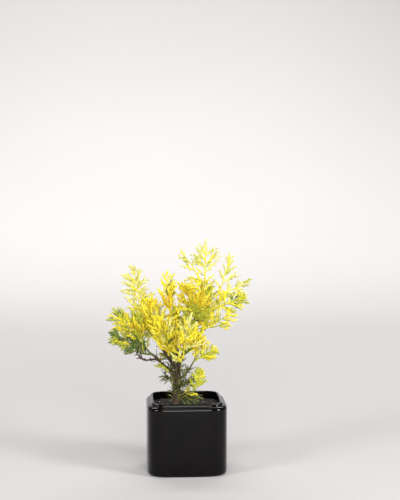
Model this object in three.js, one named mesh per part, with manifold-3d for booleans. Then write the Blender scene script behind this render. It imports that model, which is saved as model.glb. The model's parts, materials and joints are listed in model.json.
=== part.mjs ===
// A young golden western red cedar growing in a small square glazed pot.
// Units are millimetres. +Z is up, +X is to the viewer's right and +Y is away from the viewer.
// The origin is the centre of the pot's flat underside.
// Every limb is one tapering solid. Every mass of foliage is one solid, which grows from the end
// or the side of a limb by a seeded rule and keeps to a space of its own.

import * as THREE from "three";
import { mergeVertices } from "three/addons/utils/BufferGeometryUtils.js";
import Module from "manifold-3d";

const wasm = await Module();
wasm.setup();

// Driving sizes of the pot and its soil
const potWidth = 72;
const potHeight = 65;
const potFacets = 32;
const wallThickness = 6;
const floorThickness = 6;
const footInset = 4;
const lipInset = 3.6;
const lipThickness = 2.8;
const lipHeight = 2.6;
const soilBelowLip = 6;
const soilCrown = 1;

// Driving sizes of the plant
const gap = 0.3;
const leafThickness = 0.8;
const leafClearance = 0.75;
const cellMargin = 0.75;
const limbSides = 6;
const limbSteps = 6;
const trunkSides = 10;
const sampleSpacing = 0.8;
const twigRadius = 0.6;
const stemRadius = 0.85;
const goldenAngle = Math.PI * (3 - Math.sqrt(5));
const up = new THREE.Vector3(0, 0, 1);
const away = new THREE.Vector3(0, 1, 0);

const vector = ([x, y, z]) => new THREE.Vector3(x, y, z);
const mix = (a, b, share) => a + (b - a) * share;

// Random numbers from 0 to 1 that are the same on every run.
function seeded(seed) {
  let state = seed;
  return () => {
    state = (state * 16807) % 2147483647;
    return state / 2147483647;
  };
}

// Closes a stack of rings, each with the same number of points, into one solid skin.
function loft(rings) {
  const count = rings[0].length;
  const lastRing = (rings.length - 1) * count;
  const index = [];
  for (let start = 0; start < lastRing; start += count) {
    for (let i = 0; i < count; i++) {
      const here = start + i;
      const next = start + ((i + 1) % count);
      index.push(here, next, next + count, here, next + count, here + count);
    }
  }
  for (let i = 1; i + 1 < count; i++) {
    index.push(0, i + 1, i);
    index.push(lastRing, lastRing + i, lastRing + i + 1);
  }
  const geometry = new THREE.BufferGeometry().setFromPoints(rings.flat());
  return geometry.setIndex(index);
}

// Turns a closed geometry into a solid that can be joined to others.
function toSolid(geometry) {
  const bare = geometry.index ? geometry.clone() : geometry;
  bare.deleteAttribute("normal");
  bare.deleteAttribute("uv");
  const merged = mergeVertices(bare, 1e-4);
  const triVerts = new Uint32Array(merged.index.array);
  const vertProperties = merged.attributes.position.array;
  return new wasm.Manifold(new wasm.Mesh({ numProp: 3, vertProperties, triVerts }));
}

// Turns a joined solid back into a geometry.
function toGeometry(solid) {
  const { vertProperties, triVerts } = solid.getMesh();
  const geometry = new THREE.BufferGeometry();
  geometry.setAttribute("position", new THREE.BufferAttribute(vertProperties, 3));
  geometry.setIndex(new THREE.BufferAttribute(triVerts, 1));
  geometry.computeVertexNormals();
  return geometry;
}

// Finishes of the real object
const finish = (color, roughness) => new THREE.MeshStandardMaterial({ color, roughness, metalness: 0 });
const finishes = {
  glaze: finish(0x14110f, 0.15),
  soil: finish(0x2a1d14, 0.95),
  bark: finish(0x4a3626, 0.85),
  greenBark: finish(0x5b5a2a, 0.75),
  yellow: finish(0xe8d62c, 0.6),
  paleYellow: finish(0xf0e66a, 0.6),
  ochre: finish(0xc79a12, 0.6),
  lime: finish(0xa9b92a, 0.6),
  green: finish(0x4f7a28, 0.6),
  darkGreen: finish(0x2f4a1e, 0.65),
};

const plant = new THREE.Group();
function place(name, geometry, material) {
  const mesh = new THREE.Mesh(geometry, material);
  mesh.name = name;
  plant.add(mesh);
}

// The pot: a cube with swelling sides, a round shoulder and a narrower lip that stands up from it

const potHalf = potWidth / 2;
const bodySquareness = 4.8;
const lipSquareness = 6;

function squareRing(half, height, squareness) {
  const swell = (share) => half * Math.sign(share) * Math.abs(share) ** (2 / squareness);
  return Array.from({ length: potFacets }, (_, i) => {
    const turn = (i / potFacets) * 2 * Math.PI;
    return new THREE.Vector3(swell(Math.cos(turn)), swell(Math.sin(turn)), height);
  });
}

const lipOutside = potHalf - lipInset;
const lipInside = lipOutside - lipThickness;
const cavityHalf = potHalf - wallThickness;
const groove = potHeight - lipHeight;
const potProfile = [
  [potHalf - footInset, 0, bodySquareness],
  [potHalf - footInset * 0.3, 1.2, bodySquareness],
  [potHalf, 4.5, bodySquareness],
  [potHalf, groove - 4, bodySquareness],
  [potHalf - 0.5, groove - 1.6, bodySquareness],
  [potHalf - 1.7, groove - 0.1, bodySquareness],
  [potHalf - 2.7, groove + 0.2, lipSquareness],
  [lipOutside, groove - 0.2, lipSquareness],
  [lipOutside - 0.1, potHeight - 0.8, lipSquareness],
  [lipOutside - 0.8, potHeight, lipSquareness],
  [lipInside + 0.8, potHeight, lipSquareness],
  [lipInside, potHeight - 0.9, lipSquareness],
  [cavityHalf - 0.3, groove - 3, lipSquareness],
  [cavityHalf - 0.8, floorThickness + 3, lipSquareness],
  [cavityHalf - 4, floorThickness, lipSquareness],
];
place("pot", loft(potProfile.map((row) => squareRing(...row))), finishes.glaze);

const soilTop = potHeight - soilBelowLip;
const soilProfile = [
  [cavityHalf - 4 - gap, floorThickness + gap, lipSquareness],
  [cavityHalf - 0.8 - gap, floorThickness + 3 + gap, lipSquareness],
  [cavityHalf - 0.3 - gap, soilTop - soilCrown, lipSquareness],
  [cavityHalf * 0.72, soilTop, lipSquareness],
];
place("soil", loft(soilProfile.map((row) => squareRing(...row))), finishes.soil);

// Limbs: the trunk stands on the soil, and each other limb leaves its parent at a share of the
// parent's length. The bow moves the middle of a limb away from the straight line to its tip.

const trunkFoot = [-8.5, 0.5, soilTop + gap];
const limbTable = [
  // name, parent, share along it, tip, bow, radius at its foot, radius at its tip
  ["trunk", null, 0, [-8, 1.5, 91], [-1.2, 0.5, 0], 2.5, 1.9],
  ["leader", "trunk", 1, [17.5, 4, 172], [5, -1.5, 0], 1.8, 0.7],
  ["left_bough", "trunk", 0.78, [-28.5, -3, 104], [-2, 0, 1], 1.4, 0.95],
  ["left_arm", "left_bough", 1, [-40, -5, 116], [-0.5, 0, -1.5], 0.9, 0.6],
  ["left_spur", "left_bough", 0.8, [-38, -11, 102], [0, 0, -1], 0.7, 0.5],
  ["inner_left_bough", "trunk", 0.96, [-16.5, -11, 105], [1, 0, -1], 1.2, 0.75],
  ["high_left_bough", "trunk", 0.88, [-38, 6, 132], [3, 3, 1], 1.3, 0.7],
  ["centre_bough", "leader", 0.065, [-12, -1, 126], [-3, 0, 0], 1.2, 0.7],
  ["front_bough", "trunk", 0.9, [-4, -16, 103], [0, -2, -2], 1.1, 0.7],
  ["right_bough", "trunk", 0.55, [9, -4, 104], [3, 0, -1], 1, 0.6],
  ["right_arm", "leader", 0.33, [20, -9, 132], [1, 0, -1], 0.9, 0.55],
  ["high_right_arm", "leader", 0.52, [27, -3, 147], [0, 0, -1], 0.85, 0.55],
  ["top_right_arm", "leader", 0.68, [31, 6, 161], [1.5, 0, -1.5], 0.8, 0.5],
  ["back_bough", "trunk", 0.88, [-6, 20, 106], [0, 2, -2], 1.2, 0.7],
  ["back_right_bough", "leader", 0.155, [9, 20, 121], [1, 2, -1], 1, 0.6],
  ["back_left_bough", "high_left_bough", 0.38, [-26, 22, 121], [0, 2, -1], 0.9, 0.6],
  ["foot_right_bough", "trunk", 0.22, [7, -6, 72], [0, 0, 0], 0.8, 0.5],
].map(([name, parent, along, tip, bow, thick, thin]) => ({ name, parent, along, tip, bow, thick, thin }));
const rootFlare = 1.7;
const flareFade = 14;

// The radius of a limb at a share of its length; the trunk also flares at its root.
function widen(limb, along) {
  const flare = limb.name === "trunk" ? rootFlare * Math.exp(-flareFade * along) : 0;
  return mix(limb.thick, limb.thin, along) + flare;
}

// A ring of points square to the curve.
function ringOn(frames, step, centre, radius, sides) {
  return Array.from({ length: sides }, (_, i) => {
    const turn = (i / sides) * 2 * Math.PI;
    return centre
      .clone()
      .addScaledVector(frames.normals[step], radius * Math.cos(turn))
      .addScaledVector(frames.binormals[step], radius * Math.sin(turn));
  });
}

function taperedTube(curve, radiusAt, sides, steps) {
  const frames = curve.computeFrenetFrames(steps);
  const rings = frames.tangents.map((_, step) => {
    const along = step / steps;
    return ringOn(frames, step, curve.getPointAt(along), radiusAt(along), sides);
  });
  return loft(rings);
}

// How far a point is outside the bark of a limb.
function clearOf(limb, point) {
  return Math.min(...limb.samples.map((sample) => sample.centre.distanceTo(point) - sample.radius));
}

// Cuts off the start of a curve that sets out from a parent's middle, so that a round end of the
// given radius is just clear of the parent's tip, or of its bark.
function startClear(curve, parent, along, radius) {
  const parentPoint = parent.curve.getPoint(along);
  const parentHeading = parent.curve.getTangent(along);
  for (let cut = 0; cut < 0.6; cut += 0.002) {
    const start = curve.getPoint(cut);
    const cosine = Math.abs(curve.getTangent(cut).dot(parentHeading));
    const clear = along === 1
      ? start.clone().sub(parentPoint).dot(parentHeading) - radius * Math.sqrt(1 - cosine * cosine)
      : clearOf(parent, start) - radius * cosine;
    const middle = curve.v1.clone().lerp(curve.v2, cut);
    if (clear >= gap) return new THREE.QuadraticBezierCurve3(start, middle, curve.v2);
  }
  throw new Error("a limb never clears its parent");
}

const limbs = new Map();
for (const limb of limbTable) {
  const parent = limbs.get(limb.parent);
  const foot = parent ? parent.curve.getPoint(limb.along) : vector(trunkFoot);
  const tip = vector(limb.tip);
  const middle = foot.clone().lerp(tip, 0.5).add(vector(limb.bow));
  const whole = new THREE.QuadraticBezierCurve3(foot, middle, tip);
  limb.curve = parent ? startClear(whole, parent, limb.along, limb.thick) : whole;
  const samples = Math.ceil(limb.curve.getLength() / sampleSpacing);
  limb.samples = Array.from({ length: samples + 1 }, (_, i) => {
    const along = i / samples;
    return { centre: limb.curve.getPoint(along), radius: widen(limb, along) };
  });
  limbs.set(limb.name, limb);
}

// The trunk's foot is a level cut, so its lowest ring is laid flat just above the soil.
const youngest = 0.7;
for (const limb of limbs.values()) {
  const sides = limb.parent ? limbSides : trunkSides;
  const tube = taperedTube(limb.curve, (along) => widen(limb, along), sides, limbSteps);
  if (!limb.parent) for (let i = 0; i < sides; i++) tube.attributes.position.setZ(i, trunkFoot[2]);
  place(limb.name, tube, limb.thin < youngest ? finishes.greenBark : finishes.bark);
}

// Masses: each grows from its limb towards its reach, the furthest tip. Its space is an egg
// round that line, width across the view and depth along it, cut off halfway to each neighbour.
// A fan is flat, with shoots to the left and right of its stem, and a tuft has them all round.

const firstSeed = 11;
const massTable = [
  // name, limb, share along it, reach, width, depth, form, shoots, finish
  ["leader_tip", "leader", 1, [18.5, 4, 207], 20, 6, "fan", 7, "yellow"],
  ["upper_left_fan", "leader", 0.94, [-3.5, 2, 198], 11, 6, "fan", 5, "yellow"],
  ["leader_side_fan", "leader", 0.84, [5.5, -2, 175], 8, 6, "fan", 3, "yellow"],
  ["upper_right_fan", "top_right_arm", 1, [40.5, 7, 194], 12, 6, "fan", 6, "paleYellow"],
  ["far_right_fan", "top_right_arm", 0.84, [58, 2, 170.5], 9, 8, "fan", 6, "paleYellow"],
  ["right_fan", "high_right_arm", 1, [57, -6, 161], 10, 9, "fan", 7, "paleYellow"],
  ["low_right_fan", "right_arm", 1, [47, -12, 147], 11, 10, "fan", 6, "lime"],
  ["drooping_right_fan", "right_arm", 0.82, [41.5, -7, 133.5], 8, 8, "fan", 5, "lime"],
  ["centre_right_tuft", "leader", 0.44, [14, -23, 166], 15, 14, "tuft", 6, "lime"],
  ["inner_right_tuft", "leader", 0.74, [25, 17, 168], 11, 11, "tuft", 5, "lime"],
  ["centre_top_tuft", "centre_bough", 1, [-18.5, -4, 178], 15, 13, "tuft", 9, "ochre"],
  ["centre_left_tuft", "inner_left_bough", 1, [-24, -20, 150], 17, 14, "tuft", 8, "yellow"],
  ["front_tuft", "front_bough", 1, [1, -36, 142], 16, 14, "tuft", 8, "yellow"],
  ["low_front_tuft", "front_bough", 0.8, [-13, -35, 108], 10, 9, "tuft", 6, "paleYellow"],
  ["low_centre_tuft", "right_bough", 1, [15, -9, 137], 9, 9, "tuft", 5, "yellow"],
  ["low_right_spray", "right_bough", 0.8, [27, -8, 113], 9, 8, "fan", 6, "lime"],
  ["top_left_fan", "high_left_bough", 1, [-49, 6, 190.5], 13, 7, "fan", 10, "paleYellow"],
  ["inner_left_tuft", "high_left_bough", 0.8, [-35, -6, 169], 9, 11, "tuft", 7, "ochre"],
  ["left_crest_tuft", "high_left_bough", 0.62, [-26.5, -8, 170], 8, 11, "tuft", 6, "yellow"],
  ["pale_left_fan", "left_arm", 1, [-68, 4, 151.5], 12, 8, "fan", 8, "paleYellow"],
  ["inner_pale_tuft", "left_arm", 0.78, [-49, -4, 150], 10, 10, "tuft", 8, "lime"],
  ["outer_left_fan", "left_arm", 0.64, [-76, -8, 132], 11, 9, "fan", 10, "green"],
  ["low_left_fan", "left_arm", 0.14, [-61, -12, 113], 9, 8, "fan", 8, "green"],
  ["left_spur_twigs", "left_spur", 1, [-48, -15, 112], 7, 7, "needles", 7, "darkGreen"],
  ["hanging_left_spray", "left_bough", 0.62, [-24, -11, 92.5], 5, 5, "fan", 3, "lime"],
  ["back_left_tuft", "back_left_bough", 1, [-37, 40, 152], 16, 15, "tuft", 6, "yellow"],
  ["back_tuft", "back_bough", 1, [-8, 45, 142], 17, 15, "tuft", 7, "lime"],
  ["back_right_tuft", "back_right_bough", 1, [25, 41, 153], 16, 15, "tuft", 6, "yellow"],
  ["back_top_tuft", "leader", 0.57, [-2, 16, 171], 13, 12, "tuft", 6, "ochre"],
  ["low_back_tuft", "back_bough", 0.6, [-18, 34, 103], 10, 10, "tuft", 4, "green"],
  ["foot_right_spray", "foot_right_bough", 1, [13, -9, 94], 6, 6, "fan", 5, "lime"],
  ["foot_left_needles", "trunk", 0.66, [-22, -4, 87], 7, 7, "needles", 7, "darkGreen"],
  ["foot_front_needles", "trunk", 0.35, [-5, -13, 79], 7, 6, "needles", 7, "darkGreen"],
  ["foot_right_needles", "trunk", 0.42, [9, 4, 82], 7, 7, "needles", 7, "darkGreen"],
  ["foot_back_needles", "trunk", 0.5, [-10, 16, 83], 7, 7, "needles", 7, "darkGreen"],
  ["soil_needles", "trunk", 0.12, [12, -9, 67], 6, 6, "needles", 7, "green"],
].map(([name, limb, along, reach, width, depth, form, shoots, tint], order) => ({
  name, limb, along, reach, width, depth, form, shoots, tint, seed: firstSeed + order,
}));

// The line, egg and stem of each mass. The egg is widest nearer the foot, and the stem ends well
// inside it.
const widestShare = 0.42;
const tipMargin = 2;
// For each form: how far the stem runs towards the reach and how much it sags, how widely sprays
// lean out at its foot and at its tip, how long they are and how much shorter towards the tip, and
// how broad they are and with how many lobes.
const forms = {
  fan: {
    stemShare: 0.74, sag: 2, widest: 1.15, narrowest: 0.65,
    longest: 22, shrink: 0.5, shortest: 4, widthShare: 0.42, lobes: 3,
  },
  tuft: {
    stemShare: 0.62, sag: 2, widest: 1.05, narrowest: 0.5,
    longest: 28, shrink: 0.2, shortest: 7, widthShare: 0.58, lobes: 4,
  },
  needles: {
    stemShare: 0.75, sag: 1, widest: 1, narrowest: 0.45,
    longest: 9, shrink: 0, shortest: 4, widthShare: 0.2, lobes: 0,
  },
};
for (const mass of massTable) {
  const limb = limbs.get(mass.limb);
  const foot = limb.curve.getPoint(mass.along);
  mass.tip = vector(mass.reach);
  mass.axis = mass.tip.clone().sub(foot).normalize();
  mass.across = mass.axis.clone().cross(away).normalize();
  mass.through = mass.axis.clone().cross(mass.across).normalize();
  mass.centre = foot.clone().lerp(mass.tip, widestShare);
  mass.halfLength = foot.distanceTo(mass.tip) * (1 - widestShare) + tipMargin;
  const form = forms[mass.form];
  const stemTip = foot.clone().lerp(mass.tip, form.stemShare);
  const sag = form.sag * (1 - mass.axis.z);
  const middle = foot.clone().lerp(stemTip, 0.5).addScaledVector(up, -sag);
  mass.stemThick = Math.min(stemRadius, widen(limb, mass.along));
  const whole = new THREE.QuadraticBezierCurve3(foot, middle, stemTip);
  mass.stem = startClear(whole, limb, mass.along, mass.stemThick);
}

function eggReach(mass, direction) {
  return Math.hypot(
    mass.halfLength * direction.dot(mass.axis),
    mass.width * direction.dot(mass.across),
    mass.depth * direction.dot(mass.through),
  );
}

// The flat walls between a mass and its neighbours
for (const mass of massTable) {
  mass.walls = [];
  for (const other of massTable) {
    if (other === mass) continue;
    const between = other.centre.clone().sub(mass.centre);
    const distance = between.length();
    between.normalize();
    const mine = eggReach(mass, between);
    const theirs = eggReach(other, between);
    if (mine + theirs < distance) continue;
    const share = (distance * mine) / (mine + theirs);
    const limit = mass.centre.dot(between) + share - cellMargin;
    mass.walls.push({ normal: between, limit });
  }
}

// How far a line can run from a point before it leaves the space of a mass.
function roomAlong(mass, point, direction) {
  const radii = [mass.halfLength, mass.width, mass.depth];
  const axes = [mass.axis, mass.across, mass.through];
  const offset = point.clone().sub(mass.centre);
  let a = 0;
  let b = 0;
  let c = -1;
  axes.forEach((axis, i) => {
    const step = direction.dot(axis) / radii[i];
    const from = offset.dot(axis) / radii[i];
    a += step * step;
    b += 2 * step * from;
    c += from * from;
  });
  const inside = b * b - 4 * a * c;
  let room = inside > 0 ? (-b + Math.sqrt(inside)) / (2 * a) : 0;
  for (const wall of mass.walls) {
    const speed = direction.dot(wall.normal);
    if (speed > 1e-6) room = Math.min(room, (wall.limit - point.dot(wall.normal)) / speed);
  }
  return room;
}

// Whether every point is in the space of a mass, clear of the limbs, the soil and the pot.
const guard = 1;
const openHalf = lipInside - 2 * guard;
function fits(mass, points) {
  return points.every((point) => {
    const offset = point.clone().sub(mass.centre);
    const inEgg = Math.hypot(
      offset.dot(mass.axis) / mass.halfLength,
      offset.dot(mass.across) / mass.width,
      offset.dot(mass.through) / mass.depth,
    ) < 1;
    const inWalls = mass.walls.every((wall) => point.dot(wall.normal) < wall.limit);
    const overSoil = Math.max(Math.abs(point.x), Math.abs(point.y)) < openHalf;
    const high = point.z > (overSoil ? soilTop : potHeight) + guard;
    return inEgg && inWalls && high && limbTable.every((limb) => clearOf(limb, point) > leafClearance);
  });
}

// The outline of a flat spray: a bare stalk, then a rib with pointed lobes alternately on its two sides.
const firstLobe = 0.25;
const lobeSpan = 0.575;
const lobeShrink = 0.65;
const ribHalf = 0.7;
const rootHalf = 0.2;
const sunkRoot = 0.3;
function sprayOutline({ length, width, lobes }) {
  const edges = { left: [], right: [] };
  for (let lobe = 0; lobe < lobes; lobe++) {
    const side = lobe % 2 ? 1 : -1;
    const notch = length * (firstLobe + (lobeSpan * lobe) / lobes);
    const out = (width / 2) * (1 - (lobeShrink * lobe) / lobes);
    edges[lobe % 2 ? "left" : "right"].push([notch, side * ribHalf], [notch + out, side * out]);
  }
  const root = [[-sunkRoot, rootHalf], [-sunkRoot, -rootHalf]];
  return [...root, ...edges.right, [length, 0], ...edges.left.reverse()];
}

// A point of a spray, which curls towards its face as it runs out and has drooping sides.
const droop = 0.25;
function onSpray(spray, along, aside, face) {
  const curl = spray.curl * spray.length * (along / spray.length) ** 2;
  return spray.foot
    .clone()
    .addScaledVector(spray.heading, along)
    .addScaledVector(spray.side, aside)
    .addScaledVector(spray.face, face + curl - droop * Math.abs(aside));
}

function spraySolid(spray) {
  const outline = sprayOutline(spray).map((pair) => new THREE.Vector2(...pair));
  const flat = new THREE.ExtrudeGeometry(new THREE.Shape(outline), {
    depth: leafThickness,
    bevelEnabled: false,
  });
  const position = flat.attributes.position;
  for (let i = 0; i < position.count; i++) {
    const face = position.getZ(i) - leafThickness / 2;
    const point = onSpray(spray, position.getX(i), position.getY(i), face);
    position.setXYZ(i, point.x, point.y, point.z);
  }
  return toSolid(flat);
}

// A needle is a slim stretched octahedron.
const needleMiddle = 0.42;
function needleSolid(needle) {
  const shape = new THREE.OctahedronGeometry(1);
  const position = shape.attributes.position;
  for (let i = 0; i < position.count; i++) {
    const out = position.getX(i);
    const along = out > 0.5 ? needle.length : out < -0.5 ? -sunkRoot : needle.length * needleMiddle;
    const aside = (position.getY(i) * needle.width) / 2;
    const point = onSpray(needle, along, aside, position.getZ(i) * 0.5 * leafThickness);
    position.setXYZ(i, point.x, point.y, point.z);
  }
  return toSolid(shape);
}

// Points at which a spray or needle is tested against its mass's space, past the foot of its stalk
const stalkUntested = 3;
function testPoints(spray) {
  const widest = spray.length * needleMiddle;
  const edge = spray.lobes
    ? sprayOutline(spray)
    : [[widest, spray.width / 2], [widest, -spray.width / 2], [spray.length, 0]];
  const rib = [0.25, 0.5, 0.75].map((share) => [spray.length * share, 0]);
  const outer = [...edge, ...rib].filter(([along]) => along > stalkUntested);
  return outer.map(([along, aside]) => onSpray(spray, along, aside, 0));
}

// A heading that leans away from the stem, at a turn round it and a pitch to it
function leaning(mass, along, round, pitch, rise) {
  const outward = mass.across.clone().multiplyScalar(Math.cos(round));
  outward.addScaledVector(mass.through, Math.sin(round));
  const heading = mass.stem.getTangent(along).multiplyScalar(Math.cos(pitch));
  return heading.addScaledVector(outward, Math.sin(pitch)).addScaledVector(up, rise).normalize();
}

// Gives a spray or needle its side and face, turned about its heading by a twist.
const fanTwist = 0.25;
function oriented(mass, foot, heading, twist) {
  const flat = mass.form === "fan" ? mass.through.clone() : heading.clone().cross(mass.axis);
  const face = flat.addScaledVector(heading, -flat.dot(heading)).normalize();
  face.applyAxisAngle(heading, mass.form === "fan" ? twist * fanTwist : twist);
  return { foot, heading, face, side: face.clone().cross(heading) };
}

// The largest of a few sizes that fits the space of the mass, or nothing. A size from 0 to 1 sets
// how long, broad and curled a spray would be, and sprays get shorter along the stem.
const sizesTried = [1, 0.85, 0.7, 0.55];
const turnsTried = [0, Math.PI / 2];
const roomUsed = 0.97;
const lengthRange = [0.8, 1.12];
const widthRange = [0.85, 1.15];
const curlRange = [-0.05, 0.09];
function fitted(mass, along, heading, twist, size) {
  const form = forms[mass.form];
  const foot = mass.stem.getPoint(along);
  const room = roomAlong(mass, foot, heading) * roomUsed;
  const longest = form.longest * (1 - form.shrink * along) * mix(...lengthRange, size);
  for (const share of sizesTried) {
    const length = Math.min(room, longest) * share;
    if (length < form.shortest) return null;
    for (const turn of turnsTried) {
      const spray = oriented(mass, foot, heading, twist + turn);
      spray.length = length;
      spray.width = length * form.widthShare * mix(...widthRange, size);
      spray.curl = mix(...curlRange, size);
      spray.lobes = form.lobes;
      if (fits(mass, testPoints(spray))) return spray;
    }
  }
  return null;
}

// A fan's sprays leave its stem to the left and right, and a tuft's all round it. They lean out
// widely near the foot of the stem and less near its tip, where a last spray carries it on.
const upturn = 0.25;
const turnSpread = 0.6;
const leanSpread = 0.3;
const twistSpread = 2.4;
function growSprays(mass, random) {
  const form = forms[mass.form];
  const sprays = [];
  for (let order = 0; order < mass.shoots; order++) {
    const [turn, lean, twist, size] = [random(), random(), random(), random()];
    const along = mix(0.05, 0.95, (order + 0.5) / mass.shoots);
    const round = mass.form === "fan"
      ? Math.PI * (order % 2)
      : goldenAngle * order + mass.seed;
    const pitch = mix(form.widest, form.narrowest, along) + leanSpread * (lean - 0.5);
    const heading = leaning(mass, along, round + turnSpread * (turn - 0.5), pitch, upturn);
    sprays.push(fitted(mass, along, heading, twistSpread * (twist - 0.5), size));
  }
  sprays.push(fitted(mass, 0.97, mass.stem.getTangent(1), 0, 0.8));
  return sprays.filter(Boolean);
}

function growNeedles(mass, random) {
  const form = forms[mass.form];
  const needles = [];
  for (let order = 0; order < mass.shoots; order++) {
    const [turn, lean, size] = [random(), random(), random()];
    const along = mix(0.12, 1, (order + 0.5) / mass.shoots);
    const pitch = mix(form.widest, form.narrowest, along) + leanSpread * (lean - 0.5);
    const heading = leaning(mass, along, goldenAngle * order + turn, pitch, 0);
    needles.push(fitted(mass, along, heading, 0, size));
  }
  return needles.filter(Boolean);
}

// Each mass is its stem and leaves joined in one solid, less any scrap that is cut loose.
const slack = 0.12;
for (const mass of massTable) {
  const random = seeded(mass.seed);
  const stem = taperedTube(mass.stem, (along) => mix(mass.stemThick, twigRadius, along), 4, 3);
  const leaves = mass.form === "needles"
    ? growNeedles(mass, random).map(needleSolid)
    : growSprays(mass, random).map(spraySolid);
  const joined = wasm.Manifold.union([toSolid(stem), ...leaves]).simplify(slack);
  const pieces = joined.decompose().sort((a, b) => b.volume() - a.volume());
  place(mass.name, toGeometry(pieces[0]), finishes[mass.tint]);
}

export default plant;
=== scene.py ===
# A young golden western red cedar in a small square glazed pot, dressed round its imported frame.
# Sizes are in millimetres, and become metres as each mesh is made. +X is to the viewer's right,
# +Y is away from the viewer, +Z is up, and the origin is the middle of the pot's flat underside.

import json
import math
from types import SimpleNamespace

import bmesh
import bpy
import numpy as np
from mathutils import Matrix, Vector, noise

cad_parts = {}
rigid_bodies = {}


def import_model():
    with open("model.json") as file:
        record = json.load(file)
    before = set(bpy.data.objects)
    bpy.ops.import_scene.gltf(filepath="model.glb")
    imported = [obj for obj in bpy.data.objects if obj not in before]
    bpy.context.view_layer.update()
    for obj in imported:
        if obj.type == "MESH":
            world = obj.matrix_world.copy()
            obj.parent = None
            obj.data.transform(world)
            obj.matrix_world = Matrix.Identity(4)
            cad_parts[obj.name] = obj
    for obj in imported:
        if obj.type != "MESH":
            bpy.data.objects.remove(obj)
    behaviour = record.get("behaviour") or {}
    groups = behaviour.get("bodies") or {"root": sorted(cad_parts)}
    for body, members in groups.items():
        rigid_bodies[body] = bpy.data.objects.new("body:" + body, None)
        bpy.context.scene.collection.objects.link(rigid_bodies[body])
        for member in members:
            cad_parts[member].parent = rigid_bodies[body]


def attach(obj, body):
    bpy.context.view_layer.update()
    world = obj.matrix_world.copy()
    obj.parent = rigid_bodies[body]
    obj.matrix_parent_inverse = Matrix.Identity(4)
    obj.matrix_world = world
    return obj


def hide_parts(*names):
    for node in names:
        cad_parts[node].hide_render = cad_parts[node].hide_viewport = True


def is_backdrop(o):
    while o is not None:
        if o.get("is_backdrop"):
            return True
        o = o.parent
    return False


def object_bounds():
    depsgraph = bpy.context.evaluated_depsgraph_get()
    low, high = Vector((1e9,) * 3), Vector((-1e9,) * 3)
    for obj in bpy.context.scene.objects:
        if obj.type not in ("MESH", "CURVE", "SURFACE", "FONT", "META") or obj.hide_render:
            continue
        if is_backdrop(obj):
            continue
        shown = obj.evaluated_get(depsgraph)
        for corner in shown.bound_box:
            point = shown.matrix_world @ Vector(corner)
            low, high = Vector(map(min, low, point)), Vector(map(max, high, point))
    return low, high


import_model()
cad_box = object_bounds()
MM = 0.001

# The pot
# A slip-cast stoneware cube with slightly swelling sides, a round shoulder and a narrower lip,
# dipped in a black gloss glaze. It is drawn up ring by ring from its flat foot, over the lip and
# down the inside to its floor.

pot_half = 36
pot_height = 65
body_squareness = 4.8
lip_squareness = 6
lip_outside = pot_half - 3.6
lip_inside = lip_outside - 2.8
cavity_half = pot_half - 6
cavity_floor = 6
floor_inset = 4
floor_rise = 3
wall_draft = 0.3
wall_taper = 0.8
foot_radius = 3.2
shoulder_radius = 3
shoulder_half = pot_half - shoulder_radius
groove = pot_height - 2.6
groove_radius = 0.35
lip_radius = 2
inner_radius = 0.8
ring_points = 160
smooth_angle = math.radians(50)


class Finish:
    """A named material. Its nodes are added one at a time round the one surface shader."""

    def __init__(self, name, **constants):
        self.material = bpy.data.materials.new(name)
        self.material.use_nodes = True
        self.tree = self.material.node_tree
        self.surface = self.tree.nodes["Principled BSDF"]
        for socket, value in constants.items():
            self.surface.inputs[socket.replace("_", " ")].default_value = value

    def add(self, kind, settings, sockets, output=0):
        """Adds a node with its settings and the values or links of its sockets."""
        node = self.tree.nodes.new(kind)
        for setting, value in settings.items():
            setattr(node, setting, value)
        for socket, value in sockets.items():
            if isinstance(value, Shade):
                self.tree.links.new(value.socket, node.inputs[socket])
            else:
                node.inputs[socket].default_value = value
        return Shade(self, node.outputs[output])

    def speckle(self, scale, detail=2, stretch=(1, 1, 1)):
        """Noise from 0 to 1 over the piece's own coordinates, with its scale in grains a metre."""
        place = self.add("ShaderNodeTexCoord", {}, {}, "Object")
        drawn = self.add("ShaderNodeMapping", {}, {"Vector": place, "Scale": stretch})
        sockets = {"Vector": drawn, "Scale": scale, "Detail": detail}
        return self.add("ShaderNodeTexNoise", {}, sockets, "Fac")

    def between(self, share, first, second):
        """A colour that goes from the first to the second as the share goes from 0 to 1."""
        colours = {0: share}
        for socket, value in ((6, first), (7, second)):
            colours[socket] = value if isinstance(value, Shade) else (*value, 1)
        return self.add("ShaderNodeMix", {"data_type": "RGBA"}, colours, 2)

    def feed(self, socket, value):
        """Links a shade to a socket of the surface shader."""
        self.tree.links.new(value.socket, self.surface.inputs[socket])

    def raise_by(self, height, depth, strength=1.0):
        """Lets a height bump the surface by up to a depth in metres."""
        bump = {"Height": height, "Distance": depth, "Strength": strength}
        self.feed("Normal", self.add("ShaderNodeBump", {}, bump, "Normal"))


class Shade:
    """One socket of a finish. Arithmetic on it adds Math nodes."""

    def __init__(self, finish, socket):
        self.finish = finish
        self.socket = socket

    def _sum(self, operation, first, second, clamp=False):
        settings = {"operation": operation, "use_clamp": clamp}
        return self.finish.add("ShaderNodeMath", settings, {0: first, 1: second})

    def __add__(self, other):
        return self._sum("ADD", self, other)

    def __sub__(self, other):
        return self._sum("SUBTRACT", self, other)

    def __rsub__(self, other):
        return self._sum("SUBTRACT", other, self)

    def __mul__(self, other):
        return self._sum("MULTIPLY", self, other)

    def step(self, low, high):
        """0 below the low value, 1 above the high one, and a ramp between."""
        return self._sum("MULTIPLY", self - low, 1 / (high - low), clamp=True)

    __radd__ = __add__
    __rmul__ = __mul__


def finish_piece(piece, finish, slot, *nodes):
    """Gives a piece its finish, and lets it ride and stand for its nodes. Its slot is not used."""
    piece.data.materials.clear()
    piece.data.materials.append(finish.material)
    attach(piece, "root")
    if nodes:
        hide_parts(*nodes)


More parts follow.
